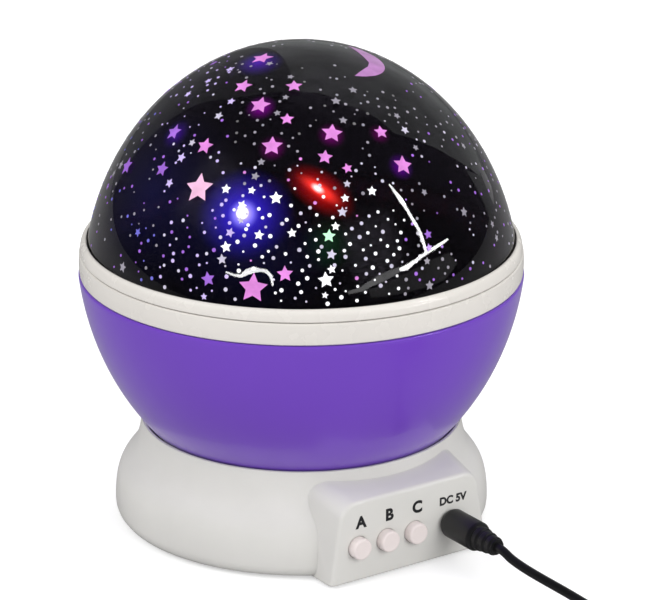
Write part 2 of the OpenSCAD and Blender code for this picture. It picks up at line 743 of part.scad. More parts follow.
// Dome and the upper part of the ring, which lift off together.
module upper_ring() {
    foot = dome_r(seat_z);
    color("white") rotate_extrude() polygon([
        [skirt_r - skirt_wall, ledge_z + 0.3], [skirt_r, ledge_z + 0.3], [skirt_r, ring_split_z],
        [ring_r - 0.4, ring_split_z], [ring_r - 0.5, ring_split_z + 0.9],
        [ring_r - 0.8, ring_split_z + 1.9], [ring_r - 1.2, ring_split_z + 2.8],
        [foot + 0.4, ring_top_z], [foot + 0.1, ring_top_z],
        [foot + 0.1, seat_z], [skirt_r - skirt_wall + 1.4, seat_z], [skirt_r - skirt_wall, seat_z - 1.4]
    ]);
}
module dome_shell() {
    steps = 22;
    rise = dome_mid_z + dome_c - seat_z;
    // Heights close up towards the crown, where the curve turns fastest.
    heights = [for (k = [0 : steps - 1]) seat_z + rise * sin(90 * k / steps)];
    in_a = dome_a - dome_wall;
    in_c = dome_c - dome_wall;
    in_rise = dome_mid_z + in_c - seat_z;
    in_heights = [for (k = [steps - 1 : -1 : 0]) seat_z + in_rise * sin(90 * k / steps)];
    color("dimgray") rotate_extrude() polygon(concat(
        [for (z = heights) [dome_r(z), z]],
        [[0, dome_mid_z + dome_c], [0, dome_mid_z + in_c]],
        [for (z = in_heights) [egg_r(in_a, in_c, dome_mid_z, z), z]]
    ));
}

// Battery bay parts.
module battery_contacts() {
    cell = bay_w / 3;
    color("silver") for (i = [0 : 2], side = [-1, 1]) {
        x = side * (bay_l / 2 - 0.4);
        y = bay_y + cell * (i + 0.5);
        box([min(x, x + side * 0.4), y - 3.6, bay_z + 1.5],
            [max(x, x + side * 0.4), y + 3.6, bay_z + bay_h - 1]);
        is_plus = (i % 2 == 0) == (side > 0);
        inward = x - side * (is_plus ? 0.5 : 1.6);
        rod_x(min(x, inward), max(x, inward), y, bay_z + bay_h / 2, is_plus ? 1.8 : 2.4);
    }
}
module battery_door() {
    half_l = bay_l / 2 - cover_gap;
    color("lightgray") difference() {
        union() {
            box([-half_l, hinge_y, door_z], [half_l, door_far_y, bay_z]);
            box([-door_tab_l, bay_y + 1 + cover_gap, door_z], [door_tab_l, door_screw_y + 2.6, bay_z]);
            rod_x(-half_l, half_l, hinge_y, hinge_z, door_t / 2);
        }
        rod_x(-half_l - 1, half_l + 1, hinge_y, hinge_z, hinge_pin_d / 2 + run_gap);
        rod_z([0, door_screw_y], door_z - 1, bay_z + 1, screw_d / 2);
        rod_z([0, door_screw_y], door_z - 1, door_z + 0.8, screw_head_r);
        for (k = [-3 : 3]) translate([0, bay_y + 8 + 1.6 * k, door_z])
            box([-6, -0.3, -1], [6, 0.3, 0.3]);
    }
}
module door_screw() {
    color("silver") difference() {
        union() {
            rod_z([0, door_screw_y], door_z, door_z + 0.8, screw_head_r);
            rod_z([0, door_screw_y], door_z, cover_top + 3, screw_d / 2);
        }
        for (turn = [0, 90]) translate([0, door_screw_y, door_z]) rotate([0, 0, turn])
            cube([2.4, 0.5, 1], center = true);
    }
}
module door_pin() {
    color("silver") rod_x(-bay_l / 2 - 1.5, bay_l / 2 + 1.5, hinge_y, hinge_z, hinge_pin_d / 2);
}

// Plug and lead.
plug_gap = 0.1;
module dc_plug_body() {
    color("black") difference() {
        union() {
            rod_y(jack_x, row_z, -panel_y - plug_l, -panel_y - 1.2, plug_d / 2);
            translate([jack_x, -panel_y - 1.2, row_z]) rotate([-90, 0, 0])
                cylinder(h = 1.2 - plug_gap, r1 = plug_d / 2, r2 = plug_d / 2 - 0.7);
        }
        rod_y(jack_x, row_z, -panel_y - 5, -panel_y + 1, barrel_d / 2);
    }
}
module dc_plug_barrel() {
    color("silver") difference() {
        rod_y(jack_x, row_z, -panel_y - 5, -panel_y + barrel_l, barrel_d / 2);
        rod_y(jack_x, row_z, -panel_y, -panel_y + barrel_l + 1, 0.65);
    }
}
relief_r = plug_d / 2 - 0.8;
relief_end_r = 2.6;
relief_rings = 3;
module dc_plug_relief() {
    pitch = relief_l / relief_rings;
    y0 = panel_y + plug_l;
    color("black") rotate([90, 0, 0]) translate([jack_x, row_z, 0]) rotate_extrude() polygon(concat(
        [[0, y0]],
        [for (k = [0 : relief_rings - 1])
            let (wide = relief_r - k * (relief_r - relief_end_r) / (relief_rings - 1))
            each [[wide - 0.1, y0 + k * pitch], [wide, y0 + k * pitch + 0.3],
                [wide, y0 + (k + 1) * pitch - 1.3], [wide - 0.1, y0 + (k + 1) * pitch - 1],
                [relief_end_r - 0.6, y0 + (k + 1) * pitch - 0.9],
                [relief_end_r - 0.6, y0 + (k + 1) * pitch - 0.1]]],
        [[relief_end_r - 0.6, y0 + relief_l], [0, y0 + relief_l]]
    ));
}
module lead_cable() { color("black") sweep(smooth(lead_route, 2), cord_d / 2, 8); }
module lead_coil() { color("black") sweep(coil_line, cord_d / 2, 6); }

// A strap round the far side of the coil.
tie_w = 6;
tie_t = 0.6;
module cord_tie() {
    inner_r = coil_in_r - cord_d / 2 - 1;
    outer_r = coil_out_r + cord_d / 2 + 0.4;
    low = 0.3;
    high = coil_z + coil_pitch * (coil_layers - 1) + cord_d / 2 + 0.3;
    color("dimgray") translate([coil_at[0], coil_at[1], 0]) difference() {
        box([inner_r - tie_t, -tie_w / 2, low - 0.3], [outer_r + tie_t, tie_w / 2, high + tie_t]);
        box([inner_r, -tie_w, low + 0.3], [outer_r, tie_w, high]);
    }
}
usb_body_w = 15.6;
usb_body_h = 8;
usb_body_l = 22;
usb_shell_w = 12;
usb_shell_h = 4.5;
usb_shell_l = 12;
usb_y = -usb_tail_y - usb_body_l;
module usb_plug_body() {
    corner = 1.5;
    tail = 6;
    color("black") difference() {
        hull() {
            for (x = [-1, 1], z = [-1, 1]) {
                translate([
                    usb_x + x * (usb_body_w / 2 - corner), usb_y, usb_z + z * (usb_body_h / 2 - corner)
                ])
                    rotate([-90, 0, 0]) cylinder(h = usb_body_l - tail, r = corner, $fn = 24);
            }
            rod_y(usb_x, usb_z, usb_y, usb_y + usb_body_l, 2.3, $fn = 24);
        }
        box([usb_x - usb_shell_w / 2, usb_y - 1, usb_z - usb_shell_h / 2],
            [usb_x + usb_shell_w / 2, usb_y + 6, usb_z + usb_shell_h / 2]);
    }
}
module usb_plug_shell() {
    color("silver") difference() {
        box([usb_x - usb_shell_w / 2, usb_y - usb_shell_l, usb_z - usb_shell_h / 2],
            [usb_x + usb_shell_w / 2, usb_y + 6, usb_z + usb_shell_h / 2]);
        box([usb_x - usb_shell_w / 2 + 0.35, usb_y - usb_shell_l - 1, usb_z - usb_shell_h / 2 + 0.35],
            [usb_x + usb_shell_w / 2 - 0.35, usb_y + 5, usb_z + usb_shell_h / 2 - 0.35]);
        for (x = [-2.6, 2.6])
            box([usb_x + x - 1.2, usb_y - 7, usb_z], [usb_x + x + 1.2, usb_y - 4.6, usb_z + 4]);
    }
}
module usb_plug_tongue() {
    color("white") box(
        [usb_x - usb_shell_w / 2 + 0.35, usb_y - usb_shell_l + 0.6, usb_z - usb_shell_h / 2 + 0.35],
        [usb_x + usb_shell_w / 2 - 0.35, usb_y + 5, usb_z - 0.1]);
}

// What is drawn.
base_housing();
bottom_cover();
rubber_feet();
cover_screws();
control_board();
board_screws();
switch_bodies();
dc_jack();
motor();
motor_screws();
gear_axles();
wiring();
battery_contacts();
door_pin();
column();
column_nut();
column_ring();
led_board();
led_blue();
led_red();
led_green();
led_white();
bowl();
lower_ring();
reflector_deck();
hub_gear();
hub_screws();
dome_shell();
upper_ring();
button_a();
button_b();
button_c();
motor_shaft();
motor_pinion();
gear_1();
gear_2();
battery_door();
door_screw();
dc_plug_body();
dc_plug_relief();
dc_plug_barrel();
lead_cable();
lead_coil();
cord_tie();
usb_plug_body();
usb_plug_shell();
usb_plug_tongue();
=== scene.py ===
"""Star night light: a lamp ball with a starry dome, on a round base with a control panel.

Laid out as an add-on and run as a script. Lengths are in metres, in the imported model's frame:
the ball's axis is Z, the feet stand on z = 0 and the control panel faces -Y.
"""

import math
import random

import bmesh
import bpy
from bpy.props import FloatProperty, FloatVectorProperty, IntProperty, PointerProperty
from mathutils import Matrix, Vector


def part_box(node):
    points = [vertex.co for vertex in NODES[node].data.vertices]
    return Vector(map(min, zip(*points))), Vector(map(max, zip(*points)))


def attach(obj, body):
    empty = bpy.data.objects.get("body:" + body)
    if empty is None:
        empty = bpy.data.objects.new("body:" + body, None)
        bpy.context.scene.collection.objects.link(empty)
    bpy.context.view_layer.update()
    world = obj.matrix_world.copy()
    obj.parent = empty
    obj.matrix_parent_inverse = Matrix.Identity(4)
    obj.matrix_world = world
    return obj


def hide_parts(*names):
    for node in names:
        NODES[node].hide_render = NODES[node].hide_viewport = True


bl_info = {
    "name": "Star night light",
    "version": (1, 0, 0),
    "blender": (4, 5, 0),
    "location": "View3D > Sidebar > Night Light",
    "description": "Dresses the packed night light: ball, starry dome, base, lead and stage",
    "category": "Object",
}

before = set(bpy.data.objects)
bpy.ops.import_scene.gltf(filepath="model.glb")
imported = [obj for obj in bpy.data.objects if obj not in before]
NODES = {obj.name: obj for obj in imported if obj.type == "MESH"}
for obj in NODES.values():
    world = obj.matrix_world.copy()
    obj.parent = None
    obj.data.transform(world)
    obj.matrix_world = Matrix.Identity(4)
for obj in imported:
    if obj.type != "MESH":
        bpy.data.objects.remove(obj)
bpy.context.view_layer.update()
MM = 0.001
WHITE = (1, 1, 1, 1)


def size_of(node):
    """The lowest and highest corners of a node, as two vectors."""
    low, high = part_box(node)
    return Vector(low), Vector(high)


def middle_of(node):
    """The centre of a node's box."""
    return [(low + high) / 2 for low, high in zip(*size_of(node))]


# Places that come from the frame.
HOUSING_LOW, HOUSING_HIGH = size_of("base_housing")
LOWER_LOW, LOWER_HIGH = size_of("lower_ring")
DOME_LOW, DOME_HIGH = size_of("dome_shell")
PANEL_FRONT = HOUSING_LOW.y
JACK_X, _, ROW_Z = middle_of("dc_plug_barrel")
BUTTONS = ("button_a", "button_b", "button_c")


def length(name, text, default):
    """A length that the user may change. Its default is given in millimetres."""
    return FloatProperty(
        name=name, description=text, default=default * MM, min=0.0, unit="LENGTH", precision=5
    )


def colour(name, text, default):
    """A colour that the user may change."""
    return FloatVectorProperty(
        name=name, description=text, default=default, size=3, min=0.0, max=1.0, subtype="COLOR"
    )


class NightLightShape(bpy.types.PropertyGroup):
    """Sizes of the ball, the base and the panel."""

    bowl_a: length("Bowl radius", "Equator radius of the bowl's curve", 61.6)
    bowl_c: length("Bowl half height", "Half height of the bowl's curve", 72.0)
    bowl_mid_z: length("Bowl centre", "Height of the centre of the bowl's curve", 79.7)
    bowl_wall: length("Bowl wall", "Wall of the bowl", 2.0)
    dome_a: length("Dome radius", "Equator radius of the dome's curve", 59.8)
    dome_c: length("Dome half height", "Half height of the dome's curve", 68.4)
    dome_mid_z: length("Dome centre", "Height of the centre of the dome's curve", 65.2)
    dome_wall: length("Dome wall", "Wall of the dome", 1.8)
    rim_r: length("Rim radius", "Radius of the base's top rim", 44.4)
    base_r: length("Base radius", "Largest radius of the base", 51.9)
    base_wide_z: length("Base widest height", "Height at which the base is widest", 4.0)
    base_wall: length("Base wall", "Wall of the base and the panel", 2.2)
    panel_w: length("Panel width", "Width of the control panel at its front", 46.0)
    panel_h: length("Panel height", "Height of the panel's front face", 22.8)
    panel_rise: length("Panel rise", "Rise of the panel's top towards the ball", 2.8)
    panel_flare: length("Panel flare", "How far the panel's sides lean out at the bottom", 2.8)
    panel_corner: length("Panel corner", "Radius of the panel's upper corners", 5.5)
    panel_edge: length("Panel edge", "Roundness of the panel's front edge", 1.3)
    skirt_r: length("Skirt radius", "Radius of the dome's skirt inside the ring", 56.0)


class NightLightPrint(bpy.types.PropertyGroup):
    """The printed sky on the dome."""

    places: IntProperty(name="Places", description="Places for dots and small stars", default=2300)
    every: IntProperty(name="Star every", description="One place in so many is a star", default=12)
    dot_r: length("Dot radius", "Radius of a middling dot", 0.52)
    star_r: length("Star radius", "Radius of a small star", 1.15)
    proud: length("Print height", "How far the print stands on the dome", 0.05)


class NightLightColours(bpy.types.PropertyGroup):
    """Colours of the plastics and the ink."""

    base: colour("Base", "Pale base plastic", (0.66, 0.65, 0.62))
    ring: colour("Ring", "White ring", (0.71, 0.68, 0.64))
    bowl: colour("Bowl", "Violet bowl", (0.150, 0.043, 0.50))
    dome: colour("Dome", "Dark dome plastic", (0.062, 0.056, 0.072))
    button: colour("Button", "Push buttons", (0.78, 0.70, 0.68))
    ink: colour("Ink", "Printed letters", (0.012, 0.012, 0.014))
    lead: colour("Lead", "Plug and lead", (0.007, 0.007, 0.0075))


# ---------------------------------------------------------------- outlines

# A radius that counts as the axis, a corner too flat to round, and the most of a side that the
# rounding of one corner may take.
ON_AXIS = 1e-7
NEARLY_STRAIGHT = math.radians(172)
CORNER_SHARE = 0.45


def spaced(start, end, steps):
    """Evenly spaced numbers, both ends included."""
    return [start + (end - start) * k / steps for k in range(steps + 1)]


def circle(radius, steps):
    """Points round a circle."""
    angles = [2 * math.pi * k / steps for k in range(steps)]
    return [(radius * math.cos(a), radius * math.sin(a)) for a in angles]


def arc(x, y, radius, start, end, steps):
    """Points on an arc, from one angle to another in degrees."""
    angles = [math.radians(a) for a in spaced(start, end, steps)]
    return [(x + radius * math.cos(a), y + radius * math.sin(a)) for a in angles]


def offsets(r, z, *steps):
    """Points of an outline, each so many millimetres out and up from a place."""
    return [(r + out * MM, z + up * MM) for out, up in steps]


def rounded(points, radius, steps=4):
    """An outline whose corners are rounded to the radius, or to what their sides allow."""
    out = []
    for i, point in enumerate(points):
        here = Vector(point)
        back = Vector(points[i - 1]) - here
        ahead = Vector(points[(i + 1) % len(points)]) - here
        turn = back.angle(ahead)
        if turn > NEARLY_STRAIGHT or point[0] < ON_AXIS:
            out.append(tuple(here))
            continue
        sides = [side.length * CORNER_SHARE for side in (back, ahead)]
        reach = min(radius / math.tan(turn / 2), *sides)
        a, b = here + back.normalized() * reach, here + ahead.normalized() * reach
        out += [tuple((1 - t) ** 2 * a + 2 * t * (1 - t) * here + t * t * b)
                for t in spaced(0, 1, steps)]
    return out


def egg(a, c, mid, z):
    """Radius at height z of a ball stretched along Z."""
    return a * math.sqrt(max(0.0, 1 - ((z - mid) / c) ** 2))


def bowl_r(s, z):
    """Radius of the bowl's outside at a height."""
    return egg(s.bowl_a, s.bowl_c, s.bowl_mid_z, z)


def dome_r(s, z, deep=0.0):
    """Radius of the dome at a height, on its outside or so deep in its wall."""
    return egg(s.dome_a - deep, s.dome_c - deep, s.dome_mid_z, z)


def bezier(a, b, c, d, steps):
    """Points along a cubic curve."""
    a, b, c, d = Vector(a), Vector(b), Vector(c), Vector(d)
    return [tuple((1 - t) ** 3 * a + 3 * t * (1 - t) ** 2 * b + 3 * t * t * (1 - t) * c + t**3 * d)
            for t in spaced(0, 1, steps)]


# ---------------------------------------------------------------- meshes

LARGE_STEPS, SMALL_STEPS, HOLE_STEPS = 192, 64, 48
SMALL_ANGLE = 35.0


def linked(name, data):
    """A new object in the scene that holds the data."""
    obj = bpy.data.objects.new(name, data)
    bpy.context.scene.collection.objects.link(obj)
    return obj


def new_object(name, verts, faces, smooth_angle=40.0):
    """A mesh object from points and faces, with its sharp edges marked."""
    mesh = bpy.data.meshes.new(name)
    mesh.from_pydata([tuple(v) for v in verts], [], faces)
    mesh.validate()
    obj = linked(name, mesh)
    soften(obj, smooth_angle)
    return obj


def hide_from(obj, *rays):
    """Hides an object from some kinds of ray."""
    for ray in rays:
        setattr(obj, "visible_" + ray, False)


def soften(obj, angle):
    """Smooth shading that breaks at edges sharper than the angle, with the normals outward."""
    work = bmesh.new()
    work.from_mesh(obj.data)
    bmesh.ops.recalc_face_normals(work, faces=work.faces)
    limit = math.radians(angle)
    for face in work.faces:
        face.smooth = True
    for edge in work.edges:
        edge.smooth = len(edge.link_faces) == 2 and edge.calc_face_angle(0.0) < limit
    work.to_mesh(obj.data)
    work.free()


def lathe(name, profile, steps=LARGE_STEPS, smooth_angle=40.0):
    """Turns a closed outline of (radius, height) about Z. Points on the axis become one."""
    verts, rows = [], []
    for r, z in profile:
        if r < ON_AXIS:
            rows.append([len(verts)] * steps)
            verts.append((0.0, 0.0, z))
            continue
        rows.append(list(range(len(verts), len(verts) + steps)))
        verts += [(x, y, z) for x, y in circle(r, steps)]
    faces = []
    for i, row in enumerate(rows):
        after = rows[(i + 1) % len(rows)]
        for k in range(steps):
            ring = [row[k], row[(k + 1) % steps], after[(k + 1) % steps], after[k]]
            face = [v for j, v in enumerate(ring) if v != ring[j - 1]]
            if len(face) > 2:
                faces.append(face)
    return new_object(name, verts, faces, smooth_angle)


def turned(name, outline, place_at, degrees):
    """A small round piece along Y, from an outline of (radius, distance)."""
    obj = lathe(name, outline, SMALL_STEPS, SMALL_ANGLE)
    lay = Matrix.Rotation(math.radians(degrees), 4, "X")
    obj.data.transform(Matrix.Translation(place_at) @ lay)
    soften(obj, SMALL_ANGLE)
    return obj


def hull_of(name, points):
    """The convex hull of points, used as a tool."""
    flat = math.radians(0.5)
    work = bmesh.new()
    for p in points:
        work.verts.new(p)
    made = bmesh.ops.convex_hull(work, input=work.verts)
    spare = [g for g in made["geom_interior"] if isinstance(g, bmesh.types.BMVert)]
    bmesh.ops.delete(work, geom=spare, context="VERTS")
    bmesh.ops.dissolve_limit(work, angle_limit=flat, verts=work.verts, edges=work.edges)
    obj = linked(name, bpy.data.meshes.new(name))
    work.to_mesh(obj.data)
    work.free()
    soften(obj, 30.0)
    return obj


def rod(start, end, radius, steps=HOLE_STEPS):
    """A closed round bar between two points, used as a cutter."""
    start, end = Vector(start), Vector(end)
    along = (end - start).normalized()
    side = along.orthogonal().normalized()
    other = along.cross(side)
    verts = [centre + radius * (x * side + y * other)
             for centre in (start, end) for x, y in circle(1.0, steps)]
    faces = [[k, (k + 1) % steps, steps + (k + 1) % steps, steps + k] for k in range(steps)]
    faces += [list(range(steps))[::-1], list(range(steps, 2 * steps))]
    return new_object("hole", verts, faces)


def carve(obj, tool, operation="DIFFERENCE"):
    """Applies one boolean to a piece and removes the tool."""
    step = obj.modifiers.new("carve", "BOOLEAN")
    step.operation = operation
    step.solver = "EXACT"
    step.object = tool
    graph = bpy.context.evaluated_depsgraph_get()
    mesh = bpy.data.meshes.new_from_object(obj.evaluated_get(graph))
    obj.modifiers.clear()
    obj.data = mesh
    bpy.data.objects.remove(tool)


# ---------------------------------------------------------------- materials

# How many times per metre the mottling, the uneven gloss and the grain of plastics repeat.
CLOUD_SCALE, GLOSS_SCALE, GRAIN_SCALE = 55.0, 140.0, 900.0
POLISH_SCALE = 700.0
COAT_ROUGH = 0.12


class Nodes:
    """The node tree of a material or of the world, with short ways to add nodes."""

    def __init__(self, owner):
        owner.use_nodes = True
        self.owner = owner
        self.tree = owner.node_tree

    def feed(self, node, values):
        """Joins a node's inputs to other nodes' outputs, or sets them to plain values."""
        for name, value in values.items():
            if isinstance(value, bpy.types.NodeSocket):
                self.tree.links.new(value, node.inputs[name])
            else:
                node.inputs[name].default_value = value
        return node

    def add(self, kind, values=(), **settings):
        """A new node with its settings and inputs."""
        node = self.tree.nodes.new("ShaderNode" + kind)
        for name, value in settings.items():
            setattr(node, name, value)
        return self.feed(node, dict(values))

    def paint(self, values):
        """Feeds the material's own shader."""
        self.feed(self.tree.nodes["Principled BSDF"], values)

    def place(self):
        """The place on the object."""
        return self.add("TexCoord").outputs["Object"]

    def noise(self, scale, detail):
        values = {"Vector": self.place(), "Scale": scale, "Detail": detail, "Roughness": 0.5}
        return self.add("TexNoise", values).outputs["Fac"]

    def ramp(self, factor, low, high, start=0.3, end=0.7):
        """A colour between two."""
        node = self.add("ValToRGB", {"Fac": factor})
        first, last = node.color_ramp.elements
        first.position, first.color = start, low
        last.position, last.color = end, high
        return node.outputs["Color"]

    def span(self, factor, low, high, start=0.0, end=1.0):
        """A number between two, as the factor goes from start to end."""
        return self.add("MapRange", {
            "Value": factor, "From Min": start, "From Max": end, "To Min": low, "To Max": high,
        }).outputs["Result"]

    def math(self, operation, first, second):
        return self.add("Math", {0: first, 1: second}, operation=operation).outputs["Value"]

    def ray(self, kind):
        """What the light path says of a ray."""
        return self.add("LightPath").outputs[kind]

    def for_gloss(self, level, mirrored_level):
        """A level that is another one where the dome's gloss mirrors it."""
        values = {"Factor": self.ray("Is Glossy Ray"), "A": level, "B": mirrored_level}
        return self.add("Mix", values).outputs["Result"]

    def seen(self):
        """1 for rays from the camera, also through the dome, and 0 for the rest."""
        return self.math("MAXIMUM", self.ray("Is Camera Ray"), self.ray("Is Transmission Ray"))


def shade(tone, factor):
    """A colour made lighter or darker, with alpha."""
    return tuple(min(1.0, c * factor) for c in tone[:3]) + (1.0,)


def plastic(name, tone, rough, grain=0.02, spread=0.04, coat=0.0, edge=0.0):
    """Moulded plastic with faint mottling, uneven gloss, and grain and soft edges in mm."""
    n = Nodes(bpy.data.materials.new(name))
    grainy = {"Height": n.noise(GRAIN_SCALE, 3.0), "Strength": 0.35, "Distance": grain * MM}
    if edge > 0:
        grainy["Normal"] = n.add("Bevel", {"Radius": edge * MM}, samples=6).outputs["Normal"]
    cloud = n.noise(CLOUD_SCALE, 5.0)
    n.paint({
        "Base Color": n.ramp(cloud, shade(tone, 1 - spread), shade(tone, 1 + spread), 0.15, 0.85),
        "Roughness": n.span(n.noise(GLOSS_SCALE, 6.0), rough * 0.85, rough * 1.2),
        "Normal": n.add("Bump", grainy).outputs["Normal"],
        "Coat Weight": coat,
        "Coat Roughness": COAT_ROUGH,
    })
    return n.owner


def metal(name, tone, rough):
    """Turned or pressed metal with fine uneven polish."""
    n = Nodes(bpy.data.materials.new(name))
    cloud = n.noise(POLISH_SCALE, 4.0)
    n.paint({
        "Base Color": n.ramp(cloud, shade(tone, 0.85), shade(tone, 1.1)),
        "Roughness": n.span(cloud, rough * 0.7, rough * 1.4),
        "Metallic": 1.0,
    })
    return n.owner


def dress(material, *nodes):
    """Gives CAD nodes their finish."""
    for node in nodes:
        obj = NODES[node]
        if not obj.material_slots:
            obj.data.materials.append(material)
        for holder in obj.material_slots:
            holder.material = material


def tint(obj, *materials):
    """Gives a piece its materials."""
    obj.data.materials.clear()
    for material in materials:
        obj.data.materials.append(material)


def place(obj, materials, body, slot, *nodes):
    """Finishes a piece, rides it on a body and hides the nodes it stands for. Its slot is not
    used.
    """
    tint(obj, *materials)
    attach(obj, body)
    if nodes:
        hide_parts(*nodes)
    return obj


def settings(context):
    """The sizes and the colours that are set."""
    return context.scene.nightlight_shape, context.scene.nightlight_colours


# ---------------------------------------------------------------- the photograph's viewpoint

# The camera, fitted to the photograph: azimuth from the panel's normal, distance and height.
CAMERA_TURN = -34.18
CAMERA_OUT = 0.9662
CAMERA_HIGH = 0.4137
CAMERA_AIM = Vector((0, 0, 0.06117))
CAMERA_LENS = 208.1
SENSOR = 36.0
PHOTO_W, PHOTO_H = 647, 600
AXIS_PX = 301.34
UP = Vector((0, 0, 1))


def around(degrees_from_front, out, z):
    """A point at an azimuth from the camera's side of the ball's axis, positive to the right."""
    a = math.radians(CAMERA_TURN + degrees_from_front)
    return Vector((out * math.sin(a), -out * math.cos(a), z))


def camera_ray(px, py):
    """Where the camera stands and the way that a pixel of the photograph looks."""
    start = around(0, CAMERA_OUT, CAMERA_HIGH)
    ahead = (CAMERA_AIM - start).normalized()
    right = ahead.cross(UP).normalized()
    focal = CAMERA_LENS / SENSOR * PHOTO_W
    way = ahead + right * (px - AXIS_PX) / focal + right.cross(ahead) * (PHOTO_H / 2 - py) / focal
    return start, way.normalized()


def on_dome(s, px, py):
    """The place on the dome's outside that a pixel of the photograph shows."""
    start, way = camera_ray(px, py)
    scale = Vector((1 / s.dome_a, 1 / s.dome_a, 1 / s.dome_c))
    o = (start - s.dome_mid_z * UP) * scale
    d = way * scale
    a, b, c = d.dot(d), 2 * o.dot(d), o.dot(o) - 1
    return start + way * (-b - math.sqrt(b * b - 4 * a * c)) / (2 * a)


def dome_frame(s, centre):
    """Outward, sideways and upward directions on the dome at a point."""
    flat, tall = s.dome_a**2, s.dome_c**2
    out = Vector((centre.x / flat, centre.y / flat, (centre.z - s.dome_mid_z) / tall)).normalized()
    side = UP.cross(out)
    side = side.normalized() if side.length > 1e-3 else Vector((1, 0, 0))
    return out, side, out.cross(side)


# ---------------------------------------------------------------- stage

# Where the lamps point, and the ray depth under which a reflection is the camera's own.
LAMP_AIM = Vector((0, 0, 0.06))
FIRST_BOUNCE = 1.5
# Soft lamps: azimuth from the camera, distance out, height, width, how tall they are, and power.
SOFTBOXES = (
    ("key", -68, 1.1, 0.95, 0.7, 0.7, 7.0),
    ("fill", 42, 1.3, 0.6, 0.7, 0.6, 7.5),
    ("top", 150, 0.6, 1.3, 0.8, 0.8, 4.0),
)
# Levels of the world and the floor, what the dome's gloss mirrors of them, and the floor's glow.
WORLD_LEVEL, WORLD_MIRRORED = 0.82, 0.01
FLOOR_LEVEL, FLOOR_MIRRORED, FLOOR_LIFT = 0.60, 0.24, 0.5
FLOOR_HALF = 6.0

# What the dome's gloss mirrors: the pale room behind, as azimuth, upper and lower elevation in
# degrees round a place inside the ball,
SWEEP_OUT, SWEEP_Z = 2.2, 0.09
SWEEP_TONE = (0.95, 1.0, 0.97, 1)
SWEEPS = (
    ("sweep_right", 0.32, ((108, 48, 46), (115, 54, 33), (123, 61, 20), (129, 66, 12),
     (136, 67, 4), (146, 68, 0), (160, 69, 0), (186, 70, 0))),
    ("sweep_edge", 0.2, ((127, 12, -25), (136, 4, -25), (146, 0, -25), (160, 0, -25),
     (186, 0, -25))),
    ("sweep_left", 0.12, ((186, 70, -25), (207, 66, -25), (216, 61, -25), (221, 59, -25),
     (223, 55, 38), (225, 50, 47))),
)
# and narrow lights in front, as the pixel where each point of them shows, and the width there.
STREAK_OUT = 1.5
STREAKS = (
    ("edge_light", 0.6, ((478, 163, 3), (486, 180, 5), (493, 197, 5), (500, 215, 3))),
    ("tall_light", 30.0, ((389, 184, 1.2), (395, 192, 2.6), (401, 200, 4.6), (406, 208, 2.8),
     (410, 215, 2.6), (415, 223, 3.4), (419, 230, 2.8), (423, 241, 3.2), (426, 252, 2.6))),
    ("long_light", 28.0, ((448, 239, 1.6), (439, 245, 3.0), (426, 253, 3.2), (415, 261, 3.2),
     (406, 268, 5.4), (399, 270, 3.0), (394, 272, 1.5))),
    ("long_haze", 2.2, ((400, 269, 4), (392, 273, 7), (382, 278, 8), (372, 283, 6),
     (362, 289, 5), (348, 293, 3))),
    ("hook_light", 24.0, ((226, 272, 1.5), (233, 275, 2.6), (241, 276, 3.4), (247, 272, 6.0),
     (253, 270, 6.4), (260, 270, 3.4), (266, 271, 3.4), (271, 276, 3.4), (273, 286, 1.8))),
    ("floor_glow", 0.30, ((453, 258, 14), (438, 270, 24), (415, 280, 20), (392, 288, 14),
     (370, 294, 8))),
)


def aim(obj, target):
    """Turns a lamp or the camera towards a point."""
    obj.rotation_mode = "QUATERNION"
    obj.rotation_quaternion = (obj.location - target).to_track_quat("Z", "Y")


def softbox(name, turn, out, high, width, tall, power):
    """A rectangular soft lamp aimed at the object."""
    lamp = bpy.data.lights.new(name, "AREA")
    lamp.shape = "RECTANGLE"
    lamp.size, lamp.size_y = width, tall
    lamp.energy = power
    obj = linked(name, lamp)
    obj.location = around(turn, out, high)
    hide_from(obj, "glossy")
    aim(obj, LAMP_AIM)


def glossy_only(name, strength, tone):
    """An uneven glow that only the camera's own reflections see, not those inside the dome."""
    n = Nodes(bpy.data.materials.new(name))
    n.tree.nodes.clear()
    level = n.span(n.noise(3.0, 6.0), strength * 0.75, strength * 1.25, 0.3, 0.7)
    first = n.math("LESS_THAN", n.ray("Ray Depth"), FIRST_BOUNCE)
    mix = n.add("MixShader", {
        "Fac": n.math("MULTIPLY", n.ray("Is Glossy Ray"), first),
        1: n.add("BsdfTransparent").outputs["BSDF"],
        2: n.add("Emission", {"Color": tone, "Strength": level}).outputs["Emission"],
    })
    n.add("OutputMaterial", {"Surface": mix.outputs["Shader"]})
    return n.owner


def reflected_card(name, verts, strength, tone=WHITE):
    """A curved card far from the object, a strip of point pairs, seen in its gloss."""
    faces = [[i, i + 1, i + 3, i + 2] for i in range(0, len(verts) - 2, 2)]
    card = new_object(name, verts, faces)
    tint(card, glossy_only(name + "_glow", strength, tone))
    hide_from(card, "shadow", "diffuse", "camera")


def mirrored(s, px, py):
    """The point, far out, that the dome mirrors at a pixel of the photograph."""
    way = camera_ray(px, py)[1]
    spot = on_dome(s, px, py)
    normal = dome_frame(s, spot)[0]
    return spot + STREAK_OUT * (way - 2 * way.dot(normal) * normal).normalized()


def band(points):
    """The two edges of a strip along (pixel, pixel, width) points."""
    edges = []
    for i, (x, y, wide) in enumerate(points):
        before, after = points[max(i - 1, 0)], points[min(i + 1, len(points) - 1)]
        run = Vector((after[0] - before[0], after[1] - before[1])).normalized() * wide / 2
        edges += [(x - run.y, y + run.x), (x + run.y, y - run.x)]
    return edges


